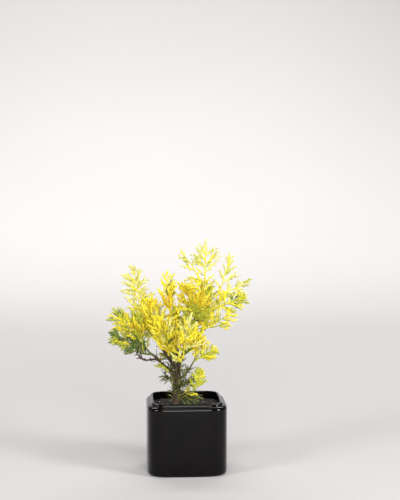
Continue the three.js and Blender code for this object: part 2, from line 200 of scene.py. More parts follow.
def first_ring(name, half, height, squareness):
    """Starts a shell from a disc and leaves its rim selected in edit mode."""
    bpy.ops.object.select_all(action="DESELECT")
    bpy.ops.mesh.primitive_circle_add(vertices=ring_points, radius=half * MM, fill_type="NGON")
    piece = bpy.context.active_object
    piece.name = name
    bpy.ops.object.mode_set(mode="EDIT")
    square_up(piece, (half, 2), (half, height, squareness))
    return piece


def square_up(piece, old, new):
    """Moves the selected ring from its old half width and squareness to new ones and a height."""
    old_half, old_squareness = old
    half, height, squareness = new
    shell = bmesh.from_edit_mesh(piece.data)
    for vertex in (v for v in shell.verts if v.select):
        for axis in (0, 1):
            share = min(1, abs(vertex.co[axis]) / (old_half * MM))
            place = half * MM * share ** (old_squareness / squareness)
            vertex.co[axis] = math.copysign(place, vertex.co[axis])
        vertex.co.z = height * MM
    bmesh.update_edit_mesh(piece.data)


def draw_up(piece, profile):
    """Extrudes the selected rim through each ring of a profile, closes it and smooths it."""
    for old, new in zip(profile, profile[1:]):
        bpy.ops.mesh.extrude_region_move()
        square_up(piece, (old[0], old[2]), new)
    bpy.ops.mesh.edge_face_add()
    bpy.ops.mesh.select_all(action="SELECT")
    bpy.ops.mesh.normals_make_consistent(inside=False)
    bpy.ops.object.mode_set(mode="OBJECT")
    bpy.ops.object.shade_smooth_by_angle(angle=smooth_angle)


def arc(centre_half, centre_height, radius, start, end, squareness, steps=6):
    """Rings of a profile on an arc, from a start to an end angle in degrees."""
    turns = np.radians(np.linspace(start, end, steps + 1))
    return [(centre_half + radius * math.cos(t), centre_height + radius * math.sin(t), squareness)
            for t in turns]


pot_profile = [
    # half width, height, squareness
    (pot_half - 4, 0, body_squareness),
    *arc(pot_half - foot_radius, foot_radius, foot_radius, -80, 0, body_squareness),
    (pot_half, 20, body_squareness),
    (pot_half, 45, body_squareness),
    *arc(shoulder_half, groove - shoulder_radius, shoulder_radius, 0, 75, body_squareness, 8),
    (pot_half - 2.75, groove - 0.15, 5.4),
    *arc(lip_outside + groove_radius, groove + 0.2, groove_radius, 270, 180, lip_squareness, 3),
    *arc(lip_outside - lip_radius, pot_height - lip_radius, lip_radius, 0, 90, lip_squareness, 8),
    *arc(lip_inside + inner_radius, pot_height - inner_radius, inner_radius, 90, 180, lip_squareness),
    (cavity_half - wall_draft, groove - 3, lip_squareness),
    (cavity_half - wall_taper, cavity_floor + floor_rise, lip_squareness),
    (cavity_half - floor_inset, cavity_floor, lip_squareness),
]
pot = first_ring("glazed_pot", *pot_profile[0])
draw_up(pot, pot_profile)

glaze = Finish("black_gloss_glaze", Specular_IOR_Level=0.18)
pooled = glaze.speckle(60, 3).step(0.35, 0.75)
glaze.feed("Base Color", glaze.between(pooled, (0.0008, 0.0006, 0.0005), (0.0018, 0.0013, 0.0011)))
glaze.feed("Roughness", glaze.speckle(900, 2) * 0.06 + 0.06)
glaze.raise_by(glaze.speckle(220, 2), 0.00005)
finish_piece(pot, glaze, "glaze", "pot")

# The soil
# Dark potting mix of peat, bark fines and a little pale grit, pressed level about 6 mm below the
# lip. The bed is one body with a crumbled top, and the loose crumbs lie on it.

gap = 0.3
soil_top = pot_height - 6
soil_half = cavity_half - wall_draft - gap
clod_height = 0.75
clod_fineness = 0.35
edge_dip = 0.4

bed_profile = [
    (cavity_half - floor_inset - gap, cavity_floor + gap, lip_squareness),
    (cavity_half - wall_taper - gap, cavity_floor + floor_rise + gap, lip_squareness),
    (soil_half, soil_top - 1, lip_squareness),
    *[(soil_half * share, soil_top - 0.6, lip_squareness) for share in np.linspace(0.985, 0.04, 64)],
]


def soil_height(x, y):
    """The height of the bed's crumbled top, in millimetres."""
    clods = noise.fractal(Vector((x, y, 3.7)) * clod_fineness, 0.8, 2.1, 4)
    dip = edge_dip * (max(abs(x), abs(y)) / soil_half) ** 4
    return soil_top - 0.7 + clod_height * clods - dip


bed = first_ring("soil_bed", *bed_profile[0])
draw_up(bed, bed_profile)
for vertex in bed.data.vertices:
    if vertex.co.z > (soil_top - 0.8) * MM:
        vertex.co.z = soil_height(vertex.co.x / MM, vertex.co.y / MM) * MM


def peat(name, dark, light):
    """A damp crumbly finish between two colours."""
    finish = Finish(name, Specular_IOR_Level=0.35)
    finish.feed("Base Color", finish.between(finish.speckle(1400, 3).step(0.35, 0.65), dark, light))
    finish.feed("Roughness", finish.speckle(800) * 0.3 + 0.6)
    finish.raise_by(finish.speckle(3500, 3), 0.0002, 0.8)
    return finish


potting_mix = peat("potting_mix", (0.003, 0.002, 0.0015), (0.009, 0.006, 0.004))
finish_piece(bed, potting_mix, "potting_soil", "soil")


def joined_mesh(name, points, faces):
    """One mesh from an array of points in millimetres and an array of triangles."""
    mesh = bpy.data.meshes.new(name)
    mesh.vertices.add(len(points))
    mesh.vertices.foreach_set("co", (np.asarray(points) * MM).astype(np.float32).ravel())
    mesh.loops.add(faces.size)
    mesh.loops.foreach_set("vertex_index", faces.astype(np.int32).ravel())
    mesh.polygons.add(len(faces))
    mesh.polygons.foreach_set("loop_start", np.arange(0, faces.size, 3, dtype=np.int32))
    mesh.update(calc_edges=True)
    mesh.validate()
    piece = bpy.data.objects.new(name, mesh)
    bpy.context.collection.objects.link(piece)
    return piece


def copies(shape, faces, centres, forward, aside, upward):
    """Copies a shape to each centre along three vectors, which may also stretch it."""
    points = centres[:, None] + sum(
        shape[None, :, axis, None] * vectors[:, None]
        for axis, vectors in enumerate((forward, aside, upward))
    )
    steps = np.arange(len(centres))[:, None, None] * len(shape)
    return points.reshape(-1, 3), (faces[None] + steps).reshape(-1, 3)


def outward(shape, faces):
    """The faces of a convex shape, each wound so that it points out."""
    middle = shape[np.unique(faces)].mean(axis=0)
    turned = []
    for a, b, c in faces:
        normal = np.cross(shape[b] - shape[a], shape[c] - shape[a])
        turned.append((a, b, c) if normal @ (shape[a] - middle) > 0 else (a, c, b))
    return np.array(turned)


crumb_shape = np.array([
    (1, 0.1, 0), (-1, -0.2, 0.1), (0.2, 1, -0.1), (-0.1, -1, 0), (0.1, 0.2, 1), (0, 0, -1),
])
crumb_faces = outward(crumb_shape, [
    (0, 2, 4), (2, 1, 4), (1, 3, 4), (3, 0, 4), (2, 0, 5), (1, 2, 5), (3, 1, 5), (0, 3, 5),
])
crumb_kinds = [
    # name, count, longest, breadth, thickness, dark colour, light colour
    ("peat_crumbs", 2600, 0.75, 0.8, 0.7, (0.004, 0.0025, 0.002), (0.014, 0.009, 0.006)),
    ("bark_fines", 700, 1.5, 0.35, 0.25, (0.010, 0.005, 0.003), (0.035, 0.02, 0.013)),
    ("pale_grit", 46, 0.8, 0.8, 0.7, (0.35, 0.28, 0.22), (0.65, 0.55, 0.48)),
]
crumb_margin = 1.2
crumb_spread = 0.85
scatter = np.random.default_rng(5)
for name, count, longest, breadth, thickness, dark, light in crumb_kinds:
    x, y = scatter.uniform(-1, 1, (2, count)) * (soil_half - crumb_margin)
    corner = np.abs(x / soil_half) ** lip_squareness + np.abs(y / soil_half) ** lip_squareness
    x, y = x[corner < crumb_spread], y[corner < crumb_spread]
    size = longest * scatter.uniform(0.35, 1, len(x))
    turn = scatter.uniform(0, 2 * math.pi, len(x))
    tilt = scatter.uniform(-0.5, 0.5, (2, len(x)))
    centres = np.stack([x, y, [soil_height(*pair) for pair in zip(x, y)]], axis=1)
    centres[:, 2] += size * thickness * 0.3
    forward = np.stack([np.cos(turn), np.sin(turn), tilt[0]], axis=1) * size[:, None]
    aside = np.stack([-np.sin(turn), np.cos(turn), tilt[1]], axis=1) * size[:, None] * breadth
    upward = np.cross(forward, aside)
    upward *= (size * thickness / np.linalg.norm(upward, axis=1))[:, None]
    piece = joined_mesh(name, *copies(crumb_shape, crumb_faces, centres, forward, aside, upward))
    finish_piece(piece, peat(name, dark, light), "potting_soil")

# The trunk and boughs
# Living wood under thin brown bark that peels in long upright fibres. The trunk flares at its
# root, each bough swells in a collar where it grows from its parent, and the leader leans right.

limb_table = [
    # name, parent, share along it, tip, bow, radius at its foot, radius at its tip
    ("trunk", None, 0, (-8, 1.5, 91), (-1.2, 0.5, 0), 2.5, 1.9),
    ("leader", "trunk", 1, (17.5, 4, 172), (5, -1.5, 0), 1.8, 0.7),
    ("left_bough", "trunk", 0.78, (-28.5, -3, 104), (-2, 0, 1), 1.4, 0.95),
    ("left_arm", "left_bough", 1, (-40, -5, 116), (-0.5, 0, -1.5), 0.9, 0.6),
    ("left_spur", "left_bough", 0.8, (-38, -11, 102), (0, 0, -1), 0.7, 0.5),
    ("inner_left_bough", "trunk", 0.96, (-16.5, -11, 105), (1, 0, -1), 1.2, 0.75),
    ("high_left_bough", "trunk", 0.88, (-38, 6, 132), (3, 3, 1), 1.3, 0.7),
    ("centre_bough", "leader", 0.065, (-12, -1, 126), (-3, 0, 0), 1.2, 0.7),
    ("front_bough", "trunk", 0.9, (-4, -16, 103), (0, -2, -2), 1.1, 0.7),
    ("right_bough", "trunk", 0.55, (9, -4, 104), (3, 0, -1), 1, 0.6),
    ("right_arm", "leader", 0.33, (20, -9, 132), (1, 0, -1), 0.9, 0.55),
    ("high_right_arm", "leader", 0.52, (27, -3, 147), (0, 0, -1), 0.85, 0.55),
    ("top_right_arm", "leader", 0.68, (31, 6, 161), (1.5, 0, -1.5), 0.8, 0.5),
    ("back_bough", "trunk", 0.88, (-6, 20, 106), (0, 2, -2), 1.2, 0.7),
    ("back_right_bough", "leader", 0.155, (9, 20, 121), (1, 2, -1), 1, 0.6),
    ("back_left_bough", "high_left_bough", 0.38, (-26, 22, 121), (0, 2, -1), 0.9, 0.6),
    ("foot_right_bough", "trunk", 0.22, (7, -6, 72), (0, 0, 0), 0.8, 0.5),
]
trunk_foot = np.array([-8.5, 0.5, soil_top + gap])
root_flare = 1.7
flare_fade = 14
sample_spacing = 0.8
up = np.array([0.0, 0.0, 1.0])
away = np.array([0.0, 1.0, 0.0])


def unit(vector):
    """A vector's direction, as a vector of length 1."""
    return vector / np.linalg.norm(vector)


def mix(first, second, share):
    """A value between two others, at a share of the way from the first to the second."""
    return first + (second - first) * share


class Bend:
    """A curve from a start to an end that leans towards a middle point."""

    def __init__(self, start, middle, end):
        self.start, self.middle, self.end = start, middle, end

    def point(self, share):
        """The point, or points, at a share of the curve or at several."""
        share = np.asarray(share, float)[..., None]
        outer = (1 - share) ** 2 * self.start + share**2 * self.end
        return outer + 2 * share * (1 - share) * self.middle

    def heading(self, share):
        """The direction in which the curve runs at a share of it."""
        return unit(mix(self.middle - self.start, self.end - self.middle, share))

    def length(self):
        """The length of the curve."""
        points = self.point(np.linspace(0, 1, 200))
        return np.linalg.norm(np.diff(points, axis=0), axis=1).sum()


def widen(limb, along):
    """The radius of a limb at a share of its length; the trunk also flares at its root."""
    flare = root_flare * np.exp(-flare_fade * along) if limb.name == "trunk" else 0 * along
    return mix(limb.thick, limb.thin, along) + flare


def clear_of(limb, points):
    """How far each point is outside the bark of a limb."""
    between = np.linalg.norm(limb.centres[None] - np.atleast_2d(points)[:, None], axis=2)
    return (between - limb.radii[None]).min(axis=1)


def cut_clear(curve, parent, along, radius):
    """A curve less its start, so that a round end of the radius there is just clear of its parent."""
    parent_point, parent_heading = parent.curve.point(along), parent.curve.heading(along)
    for cut in np.arange(0, 0.6, 0.002):
        start = curve.point(cut)
        cosine = abs(curve.heading(cut) @ parent_heading)
        if along == 1:
            clear = (start - parent_point) @ parent_heading - radius * math.sqrt(max(0, 1 - cosine**2))
        else:
            clear = clear_of(parent, start)[0] - radius * cosine
        if clear >= gap:
            return Bend(start, mix(curve.middle, curve.end, cut), curve.end)
    raise ValueError("a limb never clears its parent")


limbs = {}
for name, parent, along, tip, bow, thick, thin in limb_table:
    limb = SimpleNamespace(name=name, parent=limbs.get(parent), thick=thick, thin=thin)
    foot = limb.parent.curve.point(along) if parent else trunk_foot
    tip = np.array(tip, float)
    limb.whole = Bend(foot, mix(foot, tip, 0.5) + np.array(bow), tip)
    limb.curve = cut_clear(limb.whole, limb.parent, along, thick) if parent else limb.whole
    shares = np.linspace(0, 1, math.ceil(limb.curve.length() / sample_spacing) + 1)
    limb.centres, limb.radii = limb.curve.point(shares), widen(limb, shares)
    limbs[name] = limb


def rings_round(centres, turns, radii):
    """Rings of points square to lines of centres, of shape (lines, points, 3)."""
    headings = np.gradient(centres, axis=1)
    headings /= np.linalg.norm(headings, axis=2, keepdims=True)
    trend = centres[:, -1] - centres[:, 0]
    trend /= np.linalg.norm(trend, axis=1, keepdims=True)
    steep = np.abs(trend[:, 2:]) > 0.8
    start = np.cross(trend, np.where(steep, away, up))[:, None]
    first = start - (start * headings).sum(axis=2, keepdims=True) * headings
    first /= np.linalg.norm(first, axis=2, keepdims=True)
    second = np.cross(headings, first)
    swing = np.cos(turns)[:, None] * first[:, :, None] + np.sin(turns)[:, None] * second[:, :, None]
    return centres[:, :, None] + radii[..., None, None] * swing


def tube_faces(count, sides):
    """The triangles of one tube of a count of rings, with both ends closed."""
    faces = []
    for start in range(0, (count - 1) * sides, sides):
        for i in range(sides):
            here, following = start + i, start + (i + 1) % sides
            faces += [(here, following, following + sides), (here, following + sides, here + sides)]
    last = (count - 1) * sides
    for i in range(1, sides - 1):
        faces += [(0, i + 1, i), (last, last + i, last + i + 1)]
    return np.array(faces)


# Nothing on a plant runs straight: every line of it is moved a little, with its neighbours.
crook_depth = 1.3
crook_width = 13
crook_rise = 25
crook_seed = 4
noise.seed_set(crook_seed)


def crooked(points):
    """Points moved by the crook of the plant, which fades out towards the soil."""
    points = np.asarray(points, float)
    places = points.reshape(-1, 3)
    moves = np.array([noise.noise_vector(Vector(place)) for place in places / crook_width])
    rise = np.clip((places[:, 2:] - trunk_foot[2]) / crook_rise, 0, 1)
    return (places + crook_depth * rise * moves).reshape(points.shape)


# Bark rises in long fibres: its height changes fast round a limb and slowly along it.
fibre_width = 0.55
fibre_length = 6
bark_step = 0.45
collar_height = 0.4
collar_reach = 1.6
deepest_relief = 0.22
relief_share = 0.11
tip_rounding = (0.85, 0.5)


def bark_relief(centres, headings, offsets):
    """The height of the bark, from -1 to 1, at offsets from the middle of a limb."""
    heights = np.empty(offsets.shape[:2])
    for i, centre in enumerate(centres):
        for j, offset in enumerate(offsets[i]):
            place = offset / fibre_width + headings[i] * (i * bark_step / fibre_length)
            strands = 1 - 2 * abs(noise.noise(Vector(place)))
            heights[i, j] = strands + 0.5 * noise.noise(Vector(place * 2.3))
    return heights


def bark_skin(limb, sides):
    """A limb from its parent's heart to its tip, with a collar and fibrous bark."""
    count = math.ceil(limb.whole.length() / bark_step) + 1
    shares = np.linspace(0, 1, count)
    straight = limb.whole.point(shares)
    centres = crooked(straight)
    radii = widen(limb, shares)
    if limb.parent:
        from_parent = np.linalg.norm(straight - limb.curve.start, axis=1)
        radii = radii * (1 + collar_height * np.exp(-((from_parent / collar_reach) ** 2)))
    radii[-2:] *= tip_rounding
    turns = np.arange(sides) * 2 * math.pi / sides
    smooth = rings_round(centres[None], turns, radii[None])[0]
    offsets = smooth - centres[:, None]
    headings = np.gradient(centres, axis=0)
    headings /= np.linalg.norm(headings, axis=1, keepdims=True)
    relief = bark_relief(centres, headings, offsets)
    depth = np.minimum(deepest_relief, relief_share * radii)[:, None]
    rough = centres[:, None] + offsets * (1 + depth * relief / radii[:, None])[..., None]
    if not limb.parent:
        rough[0, :, 2] = centres[0, 2]
    return rough.reshape(-1, 3), tube_faces(count, sides)


def bark(name, dark, light, moss):
    """Fibrous bark between two browns, greened in patches."""
    finish = Finish(name, Specular_IOR_Level=0.3)
    fibres = finish.speckle(1500, 3, (1, 1, 0.14))
    brown = finish.between(fibres.step(0.3, 0.7), dark, light)
    finish.feed("Base Color", finish.between(finish.speckle(160, 2).step(0.5, 0.7) * 0.8, brown, moss))
    finish.feed("Roughness", fibres * 0.25 + 0.6)
    finish.raise_by(fibres, 0.00025, 0.9)
    return finish


brown_bark = bark("brown_bark", (0.010, 0.006, 0.004), (0.065, 0.034, 0.019), (0.030, 0.028, 0.010))
green_bark = bark("green_bark", (0.03, 0.026, 0.010), (0.15, 0.125, 0.04), (0.10, 0.13, 0.035))
stout = 1.5
young_tip = 0.7
for limb in limbs.values():
    piece = joined_mesh(f"{limb.name}_bark", *bark_skin(limb, 26 if limb.thick > stout else 14))
    piece.data.polygons.foreach_set("use_smooth", np.ones(len(piece.data.polygons), bool))
    young = limb.thin < young_tip and limb.name != "left_spur"
    finish, slot = (green_bark, "green_bark") if young else (brown_bark, "bark")
    finish_piece(piece, finish, slot, limb.name)

# The spaces of the foliage
# The foliage is in masses, each grown from its own limb towards its furthest tip. Its space is an
# egg round that line, cut off halfway to each neighbour. Its main sprays keep to that space, and
# finer ones may ease a little way out of it, so that neighbours knit together.

first_seed = 11
mass_table = [
    # name, limb, share along it, reach, width, depth, form, shoots, tint
    ("leader_tip", "leader", 1, (18.5, 4, 207), 20, 6, "fan", 7, "yellow"),
    ("upper_left_fan", "leader", 0.94, (-3.5, 2, 198), 11, 6, "fan", 5, "yellow"),
    ("leader_side_fan", "leader", 0.84, (5.5, -2, 175), 8, 6, "fan", 3, "yellow"),
    ("upper_right_fan", "top_right_arm", 1, (40.5, 7, 194), 12, 6, "fan", 6, "pale"),
    ("far_right_fan", "top_right_arm", 0.84, (58, 2, 170.5), 9, 8, "fan", 6, "pale"),
    ("right_fan", "high_right_arm", 1, (57, -6, 161), 10, 9, "fan", 7, "pale"),
    ("low_right_fan", "right_arm", 1, (47, -12, 147), 11, 10, "fan", 6, "lime"),
    ("drooping_right_fan", "right_arm", 0.82, (41.5, -7, 133.5), 8, 8, "fan", 5, "lime"),
    ("centre_right_tuft", "leader", 0.44, (14, -23, 166), 15, 14, "tuft", 6, "lime"),
    ("inner_right_tuft", "leader", 0.74, (25, 17, 168), 11, 11, "tuft", 5, "lime"),
    ("centre_top_tuft", "centre_bough", 1, (-18.5, -4, 178), 15, 13, "tuft", 9, "ochre"),
    ("centre_left_tuft", "inner_left_bough", 1, (-24, -20, 150), 17, 14, "tuft", 8, "yellow"),
    ("front_tuft", "front_bough", 1, (1, -36, 142), 16, 14, "tuft", 8, "yellow"),
    ("low_front_tuft", "front_bough", 0.8, (-13, -35, 108), 10, 9, "tuft", 6, "pale"),
    ("low_centre_tuft", "right_bough", 1, (15, -9, 137), 9, 9, "tuft", 5, "yellow"),
    ("low_right_spray", "right_bough", 0.8, (27, -8, 113), 9, 8, "fan", 6, "lime"),
    ("top_left_fan", "high_left_bough", 1, (-49, 6, 190.5), 13, 7, "fan", 10, "pale"),
    ("inner_left_tuft", "high_left_bough", 0.8, (-35, -6, 169), 9, 11, "tuft", 7, "ochre"),
    ("left_crest_tuft", "high_left_bough", 0.62, (-26.5, -8, 170), 8, 11, "tuft", 6, "yellow"),
    ("pale_left_fan", "left_arm", 1, (-68, 4, 151.5), 12, 8, "fan", 8, "pale"),
    ("inner_pale_tuft", "left_arm", 0.78, (-49, -4, 150), 10, 10, "tuft", 8, "lime"),
    ("outer_left_fan", "left_arm", 0.64, (-76, -8, 132), 11, 9, "fan", 10, "green"),
    ("low_left_fan", "left_arm", 0.14, (-61, -12, 113), 9, 8, "fan", 8, "green"),
    ("left_spur_twigs", "left_spur", 1, (-48, -15, 112), 7, 7, "needles", 7, "dark"),
    ("hanging_left_spray", "left_bough", 0.62, (-24, -11, 92.5), 5, 5, "fan", 3, "lime"),
    ("back_left_tuft", "back_left_bough", 1, (-37, 40, 152), 16, 15, "tuft", 6, "yellow"),
    ("back_tuft", "back_bough", 1, (-8, 45, 142), 17, 15, "tuft", 7, "lime"),
    ("back_right_tuft", "back_right_bough", 1, (25, 41, 153), 16, 15, "tuft", 6, "yellow"),
    ("back_top_tuft", "leader", 0.57, (-2, 16, 171), 13, 12, "tuft", 6, "ochre"),
    ("low_back_tuft", "back_bough", 0.6, (-18, 34, 103), 10, 10, "tuft", 4, "green"),
    ("foot_right_spray", "foot_right_bough", 1, (13, -9, 94), 6, 6, "fan", 5, "lime"),
    ("foot_left_needles", "trunk", 0.66, (-22, -4, 87), 7, 7, "needles", 7, "dark"),
    ("foot_front_needles", "trunk", 0.35, (-5, -13, 79), 7, 6, "needles", 7, "dark"),
    ("foot_right_needles", "trunk", 0.42, (9, 4, 82), 7, 7, "needles", 7, "dark"),
    ("foot_back_needles", "trunk", 0.5, (-10, 16, 83), 7, 7, "needles", 7, "dark"),
    ("soil_needles", "trunk", 0.12, (12, -9, 67), 6, 6, "needles", 7, "green"),
]
tip_margin = 2
cell_margin = 0.75
leaf_clearance = 0.75
stem_radius = 0.85
widest_share = 0.42
# For each form: how far the stem runs and how much it sags, how widely sprays lean out at its foot
# and its tip, how long they are and how much shorter towards the tip, how broad, with how many lobes
forms = {
    "fan": SimpleNamespace(
        stem_share=0.74, sag=2, widest=1.15, narrowest=0.65,
        longest=22, shrink=0.5, shortest=4, width_share=0.42, lobes=3,
    ),
    "tuft": SimpleNamespace(
        stem_share=0.62, sag=2, widest=1.05, narrowest=0.5,
        longest=28, shrink=0.2, shortest=7, width_share=0.58, lobes=4,
    ),
    "needles": SimpleNamespace(
        stem_share=0.75, sag=1, widest=1, narrowest=0.45,
        longest=9, shrink=0, shortest=4, width_share=0.2, lobes=0,
    ),
}
columns = ("name", "limb", "along", "reach", "width", "depth", "form", "shoots", "tint")
masses = []
for order, row in enumerate(mass_table):
    mass = SimpleNamespace(**dict(zip(columns, row)), seed=first_seed + order)
    limb = limbs[mass.limb]
    foot, tip = limb.curve.point(mass.along), np.array(mass.reach, float)
    mass.axis = unit(tip - foot)
    mass.across = unit(np.cross(mass.axis, away))
    mass.through = unit(np.cross(mass.axis, mass.across))
    mass.centre = mix(foot, tip, widest_share)
    mass.axes = np.array([mass.axis, mass.across, mass.through])
    half_length = np.linalg.norm(tip - foot) * (1 - widest_share) + tip_margin
    mass.radii = np.array([half_length, mass.width, mass.depth])
    stem_tip = mix(foot, tip, forms[mass.form].stem_share)
    sag = forms[mass.form].sag * (1 - mass.axis[2])
    mass.stem_thick = min(stem_radius, float(widen(limb, np.array(mass.along))))
    mass.whole = Bend(foot, mix(foot, stem_tip, 0.5) - sag * up, stem_tip)
    mass.stem = cut_clear(mass.whole, limb, mass.along, mass.stem_thick)
    masses.append(mass)

for mass in masses:
    normals, limits = [], []
    for other in masses:
        if other is mass:
            continue
        between = other.centre - mass.centre
        distance = np.linalg.norm(between)
        between = between / distance
        mine, theirs = (np.linalg.norm(m.radii * (m.axes @ between)) for m in (mass, other))
        if mine + theirs >= distance:
            normals.append(between)
            limits.append(mass.centre @ between + distance * mine / (mine + theirs) - cell_margin)
    mass.wall_normals, mass.wall_limits = np.array(normals), np.array(limits)


def room_along(mass, point, heading, ease):
    """How far a line can run from a point before it leaves the space of a mass."""
    step = mass.axes @ heading / (mass.radii + ease)
    start = mass.axes @ (point - mass.centre) / (mass.radii + ease)
    a, b, c = step @ step, 2 * step @ start, start @ start - 1
    inside = b * b - 4 * a * c
    room = (-b + math.sqrt(inside)) / (2 * a) if inside > 0 else 0
    speeds = mass.wall_normals @ heading
    spare = mass.wall_limits + ease - mass.wall_normals @ point
    return min([room, *(spare[speeds > 1e-6] / speeds[speeds > 1e-6])])


all_centres = np.concatenate([limb.centres for limb in limbs.values()])
all_radii = np.concatenate([limb.radii for limb in limbs.values()])
guard = 1
open_half = lip_inside - 2 * guard


def fits(mass, points, ease):
    """Whether every point is in the space of a mass, clear of the soil and the pot, and of the
    limbs unless it may ease out."""
    shares = (points - mass.centre) @ mass.axes.T / (mass.radii + ease)
    if (np.linalg.norm(shares, axis=1) >= 1).any():
        return False
    if (points @ mass.wall_normals.T >= mass.wall_limits + ease).any():
        return False
    over_soil = np.abs(points[:, :2]).max(axis=1) < open_half
    if (points[:, 2] <= np.where(over_soil, soil_top, pot_height) + guard).any():
        return False
    between = np.linalg.norm(all_centres[None] - points[:, None], axis=2) - all_radii
    return bool(ease or (between > leaf_clearance).all())


# The sprays
# Young twigs branch flat, like a fern: a rib with shoots to its left and right, and smaller shoots
# on those, all of them hidden under overlapping scale leaves in crossed pairs.

first_lobe = 0.25
lobe_span = 0.575
lobe_shrink = 0.65
rib_half = 0.7
rib_stations = (0.25, 0.5, 0.75)
stem_places = (0.05, 0.95)
last_spray = 0.97
last_size = 0.8
droop = 0.25
stalk_untested = 3
fan_twist = 0.25
golden_angle = math.pi * (3 - math.sqrt(5))
sizes_tried = (1, 0.85, 0.7, 0.55)
turns_tried = (0, math.pi / 2)
room_used = 0.97
length_range = (0.8, 1.12)
width_range = (0.85, 1.15)
curl_range = (-0.05, 0.09)
upturn = 0.25
turn_spread = 0.6
lean_spread = 0.3
twist_spread = 2.4


def seeded(seed):
    """Random numbers from 0 to 1 that are the same on every run."""
    state = seed
    while True:
        state = state * 16807 % 2147483647
        yield state / 2147483647


def draws(random, count):
    """The next few random numbers."""
    return [next(random) for _ in range(count)]


def turned(vector, axis, angle):
    """A vector turned about an axis."""
    level = vector * math.cos(angle) + np.cross(axis, vector) * math.sin(angle)
    return level + axis * (axis @ vector) * (1 - math.cos(angle))


def on_spray(spray, flat):
    """Points of a spray, given along its rib, aside and off its face. It curls as it runs out."""
    along, aside, lift = np.asarray(flat, float).T
    raised = lift + spray.curl * along**2 / spray.length - droop * np.abs(aside)
    return (
        spray.foot
        + along[:, None] * spray.heading
        + aside[:, None] * spray.side
        + raised[:, None] * spray.face
    )


def outline(spray):
    """The points round a spray at which it is tested against its mass's space."""
    edge = [(spray.length, 0)]
    for lobe in range(spray.lobes):
        side = 1 if lobe % 2 else -1
        notch = spray.length * (first_lobe + lobe_span * lobe / spray.lobes)
        out = spray.width / 2 * (1 - lobe_shrink * lobe / spray.lobes)
        edge += [(notch, side * rib_half), (notch + out, side * out)]
    edge += [(spray.length * share, 0) for share in rib_stations]
    return on_spray(spray, [(along, aside, 0) for along, aside in edge if along > stalk_untested])


def leaning(mass, along, round_stem, pitch, rise):
    """A heading that leans away from the stem, at a turn round it and a pitch to it."""
    outwards = mass.across * math.cos(round_stem) + mass.through * math.sin(round_stem)
    heading = mass.stem.heading(along) * math.cos(pitch) + outwards * math.sin(pitch)
    return unit(heading + up * rise)


def oriented(mass, foot, heading, twist):
    """A spray's place with its side and face, turned about its heading by a twist."""
    fan = mass.form == "fan"
    flat = mass.through if fan else np.cross(heading, mass.axis)
    face = turned(unit(flat - (flat @ heading) * heading), heading, twist * fan_twist if fan else twist)
    return SimpleNamespace(foot=foot, heading=heading, face=face, side=np.cross(face, heading), mass=mass)


def fitted(mass, foot, heading, twist, size, form, longest, ease=0):
    """The largest of a few sizes that fits the space of the mass, or nothing."""
    room = room_along(mass, foot, heading, ease) * room_used
    longest *= mix(*length_range, size)
    for share in sizes_tried:
        length = min(room, longest) * share
        if length < form.shortest:
            return None
        for turn in turns_tried:
            spray = oriented(mass, foot, heading, twist + turn)
            spray.length, spray.lobes = length, form.lobes
            spray.width = length * form.width_share * mix(*width_range, size)
            spray.curl = mix(*curl_range, size)
            if fits(mass, outline(spray), ease):
                return spray
    return None


def grow_sprays(mass, random):
    """A fan's sprays leave its stem to the left and right, and a tuft's all round it."""
    form = forms[mass.form]
    sprays = []
    for order in range(mass.shoots):
        turn, lean, twist, size = draws(random, 4)
        along = mix(*stem_places, (order + 0.5) / mass.shoots)
        round_stem = math.pi * (order % 2) if mass.form == "fan" else golden_angle * order + mass.seed
        pitch = mix(form.widest, form.narrowest, along) + lean_spread * (lean - 0.5)
        heading = leaning(mass, along, round_stem + turn_spread * (turn - 0.5), pitch, upturn)
        longest = form.longest * (1 - form.shrink * along)
        foot = mass.stem.point(along)
        sprays.append(fitted(mass, foot, heading, twist_spread * (twist - 0.5), size, form, longest))
    longest = form.longest * (1 - form.shrink * last_spray)
    foot, heading = mass.stem.point(last_spray), mass.stem.heading(1)
    sprays.append(fitted(mass, foot, heading, 0, last_size, form, longest))
    return [spray for spray in sprays if spray]


# Finer sprays fill the mass. Some leave its stem between the first ones, and the rest leave the
# ribs of those at a sharp angle, in their plane on a fan and out of it on a tuft.
side_forms = {
    "fan": SimpleNamespace(longest=13, shrink=0.5, shortest=5, width_share=0.34, lobes=3, turn=0.6),
    "tuft": SimpleNamespace(longest=19, shrink=0.3, shortest=6, width_share=0.34, lobes=3, turn=1.6),
}
side_ease = 4
side_eases = {"inner_pale_tuft": 6, "pale_left_fan": 6}
# How full of side sprays each mass is, next to 1 for the rest: less where the crown lets the sky
# through, and more where it is closed
fullness = {
    "leader_tip": 0.55, "upper_left_fan": 0.2, "leader_side_fan": 0.6, "upper_right_fan": 0.25,
    "far_right_fan": 0.25, "right_fan": 0.9, "low_right_fan": 0.4, "drooping_right_fan": 0.3,
    "low_front_tuft": 0.35, "centre_top_tuft": 0.4, "low_right_spray": 1.1, "top_left_fan": 0.9,
    "pale_left_fan": 3, "inner_pale_tuft": 3, "outer_left_fan": 1.1, "low_left_fan": 1.2,
    "hanging_left_spray": 0.5, "foot_right_spray": 2, "back_left_tuft": 1.6, "back_tuft": 1.6,
    "back_right_tuft": 1.6, "back_top_tuft": 1.6, "low_back_tuft": 1.6,
}
side_places = {"fan": (0.12, 0.34, 0.52), "tuft": (0.05, 0.2, 0.38)}
place_spread = 0.08
surest_places = 2
outer_chance = 0.4
extra_shoots = 1.4
stem_pitches = (1.05, 0.5)
stem_pitch_spread = 0.4
side_pitch = 0.62
side_twist_spread = 2
side_upturn = 0.7
side_lengths = (0.8, 0.5)


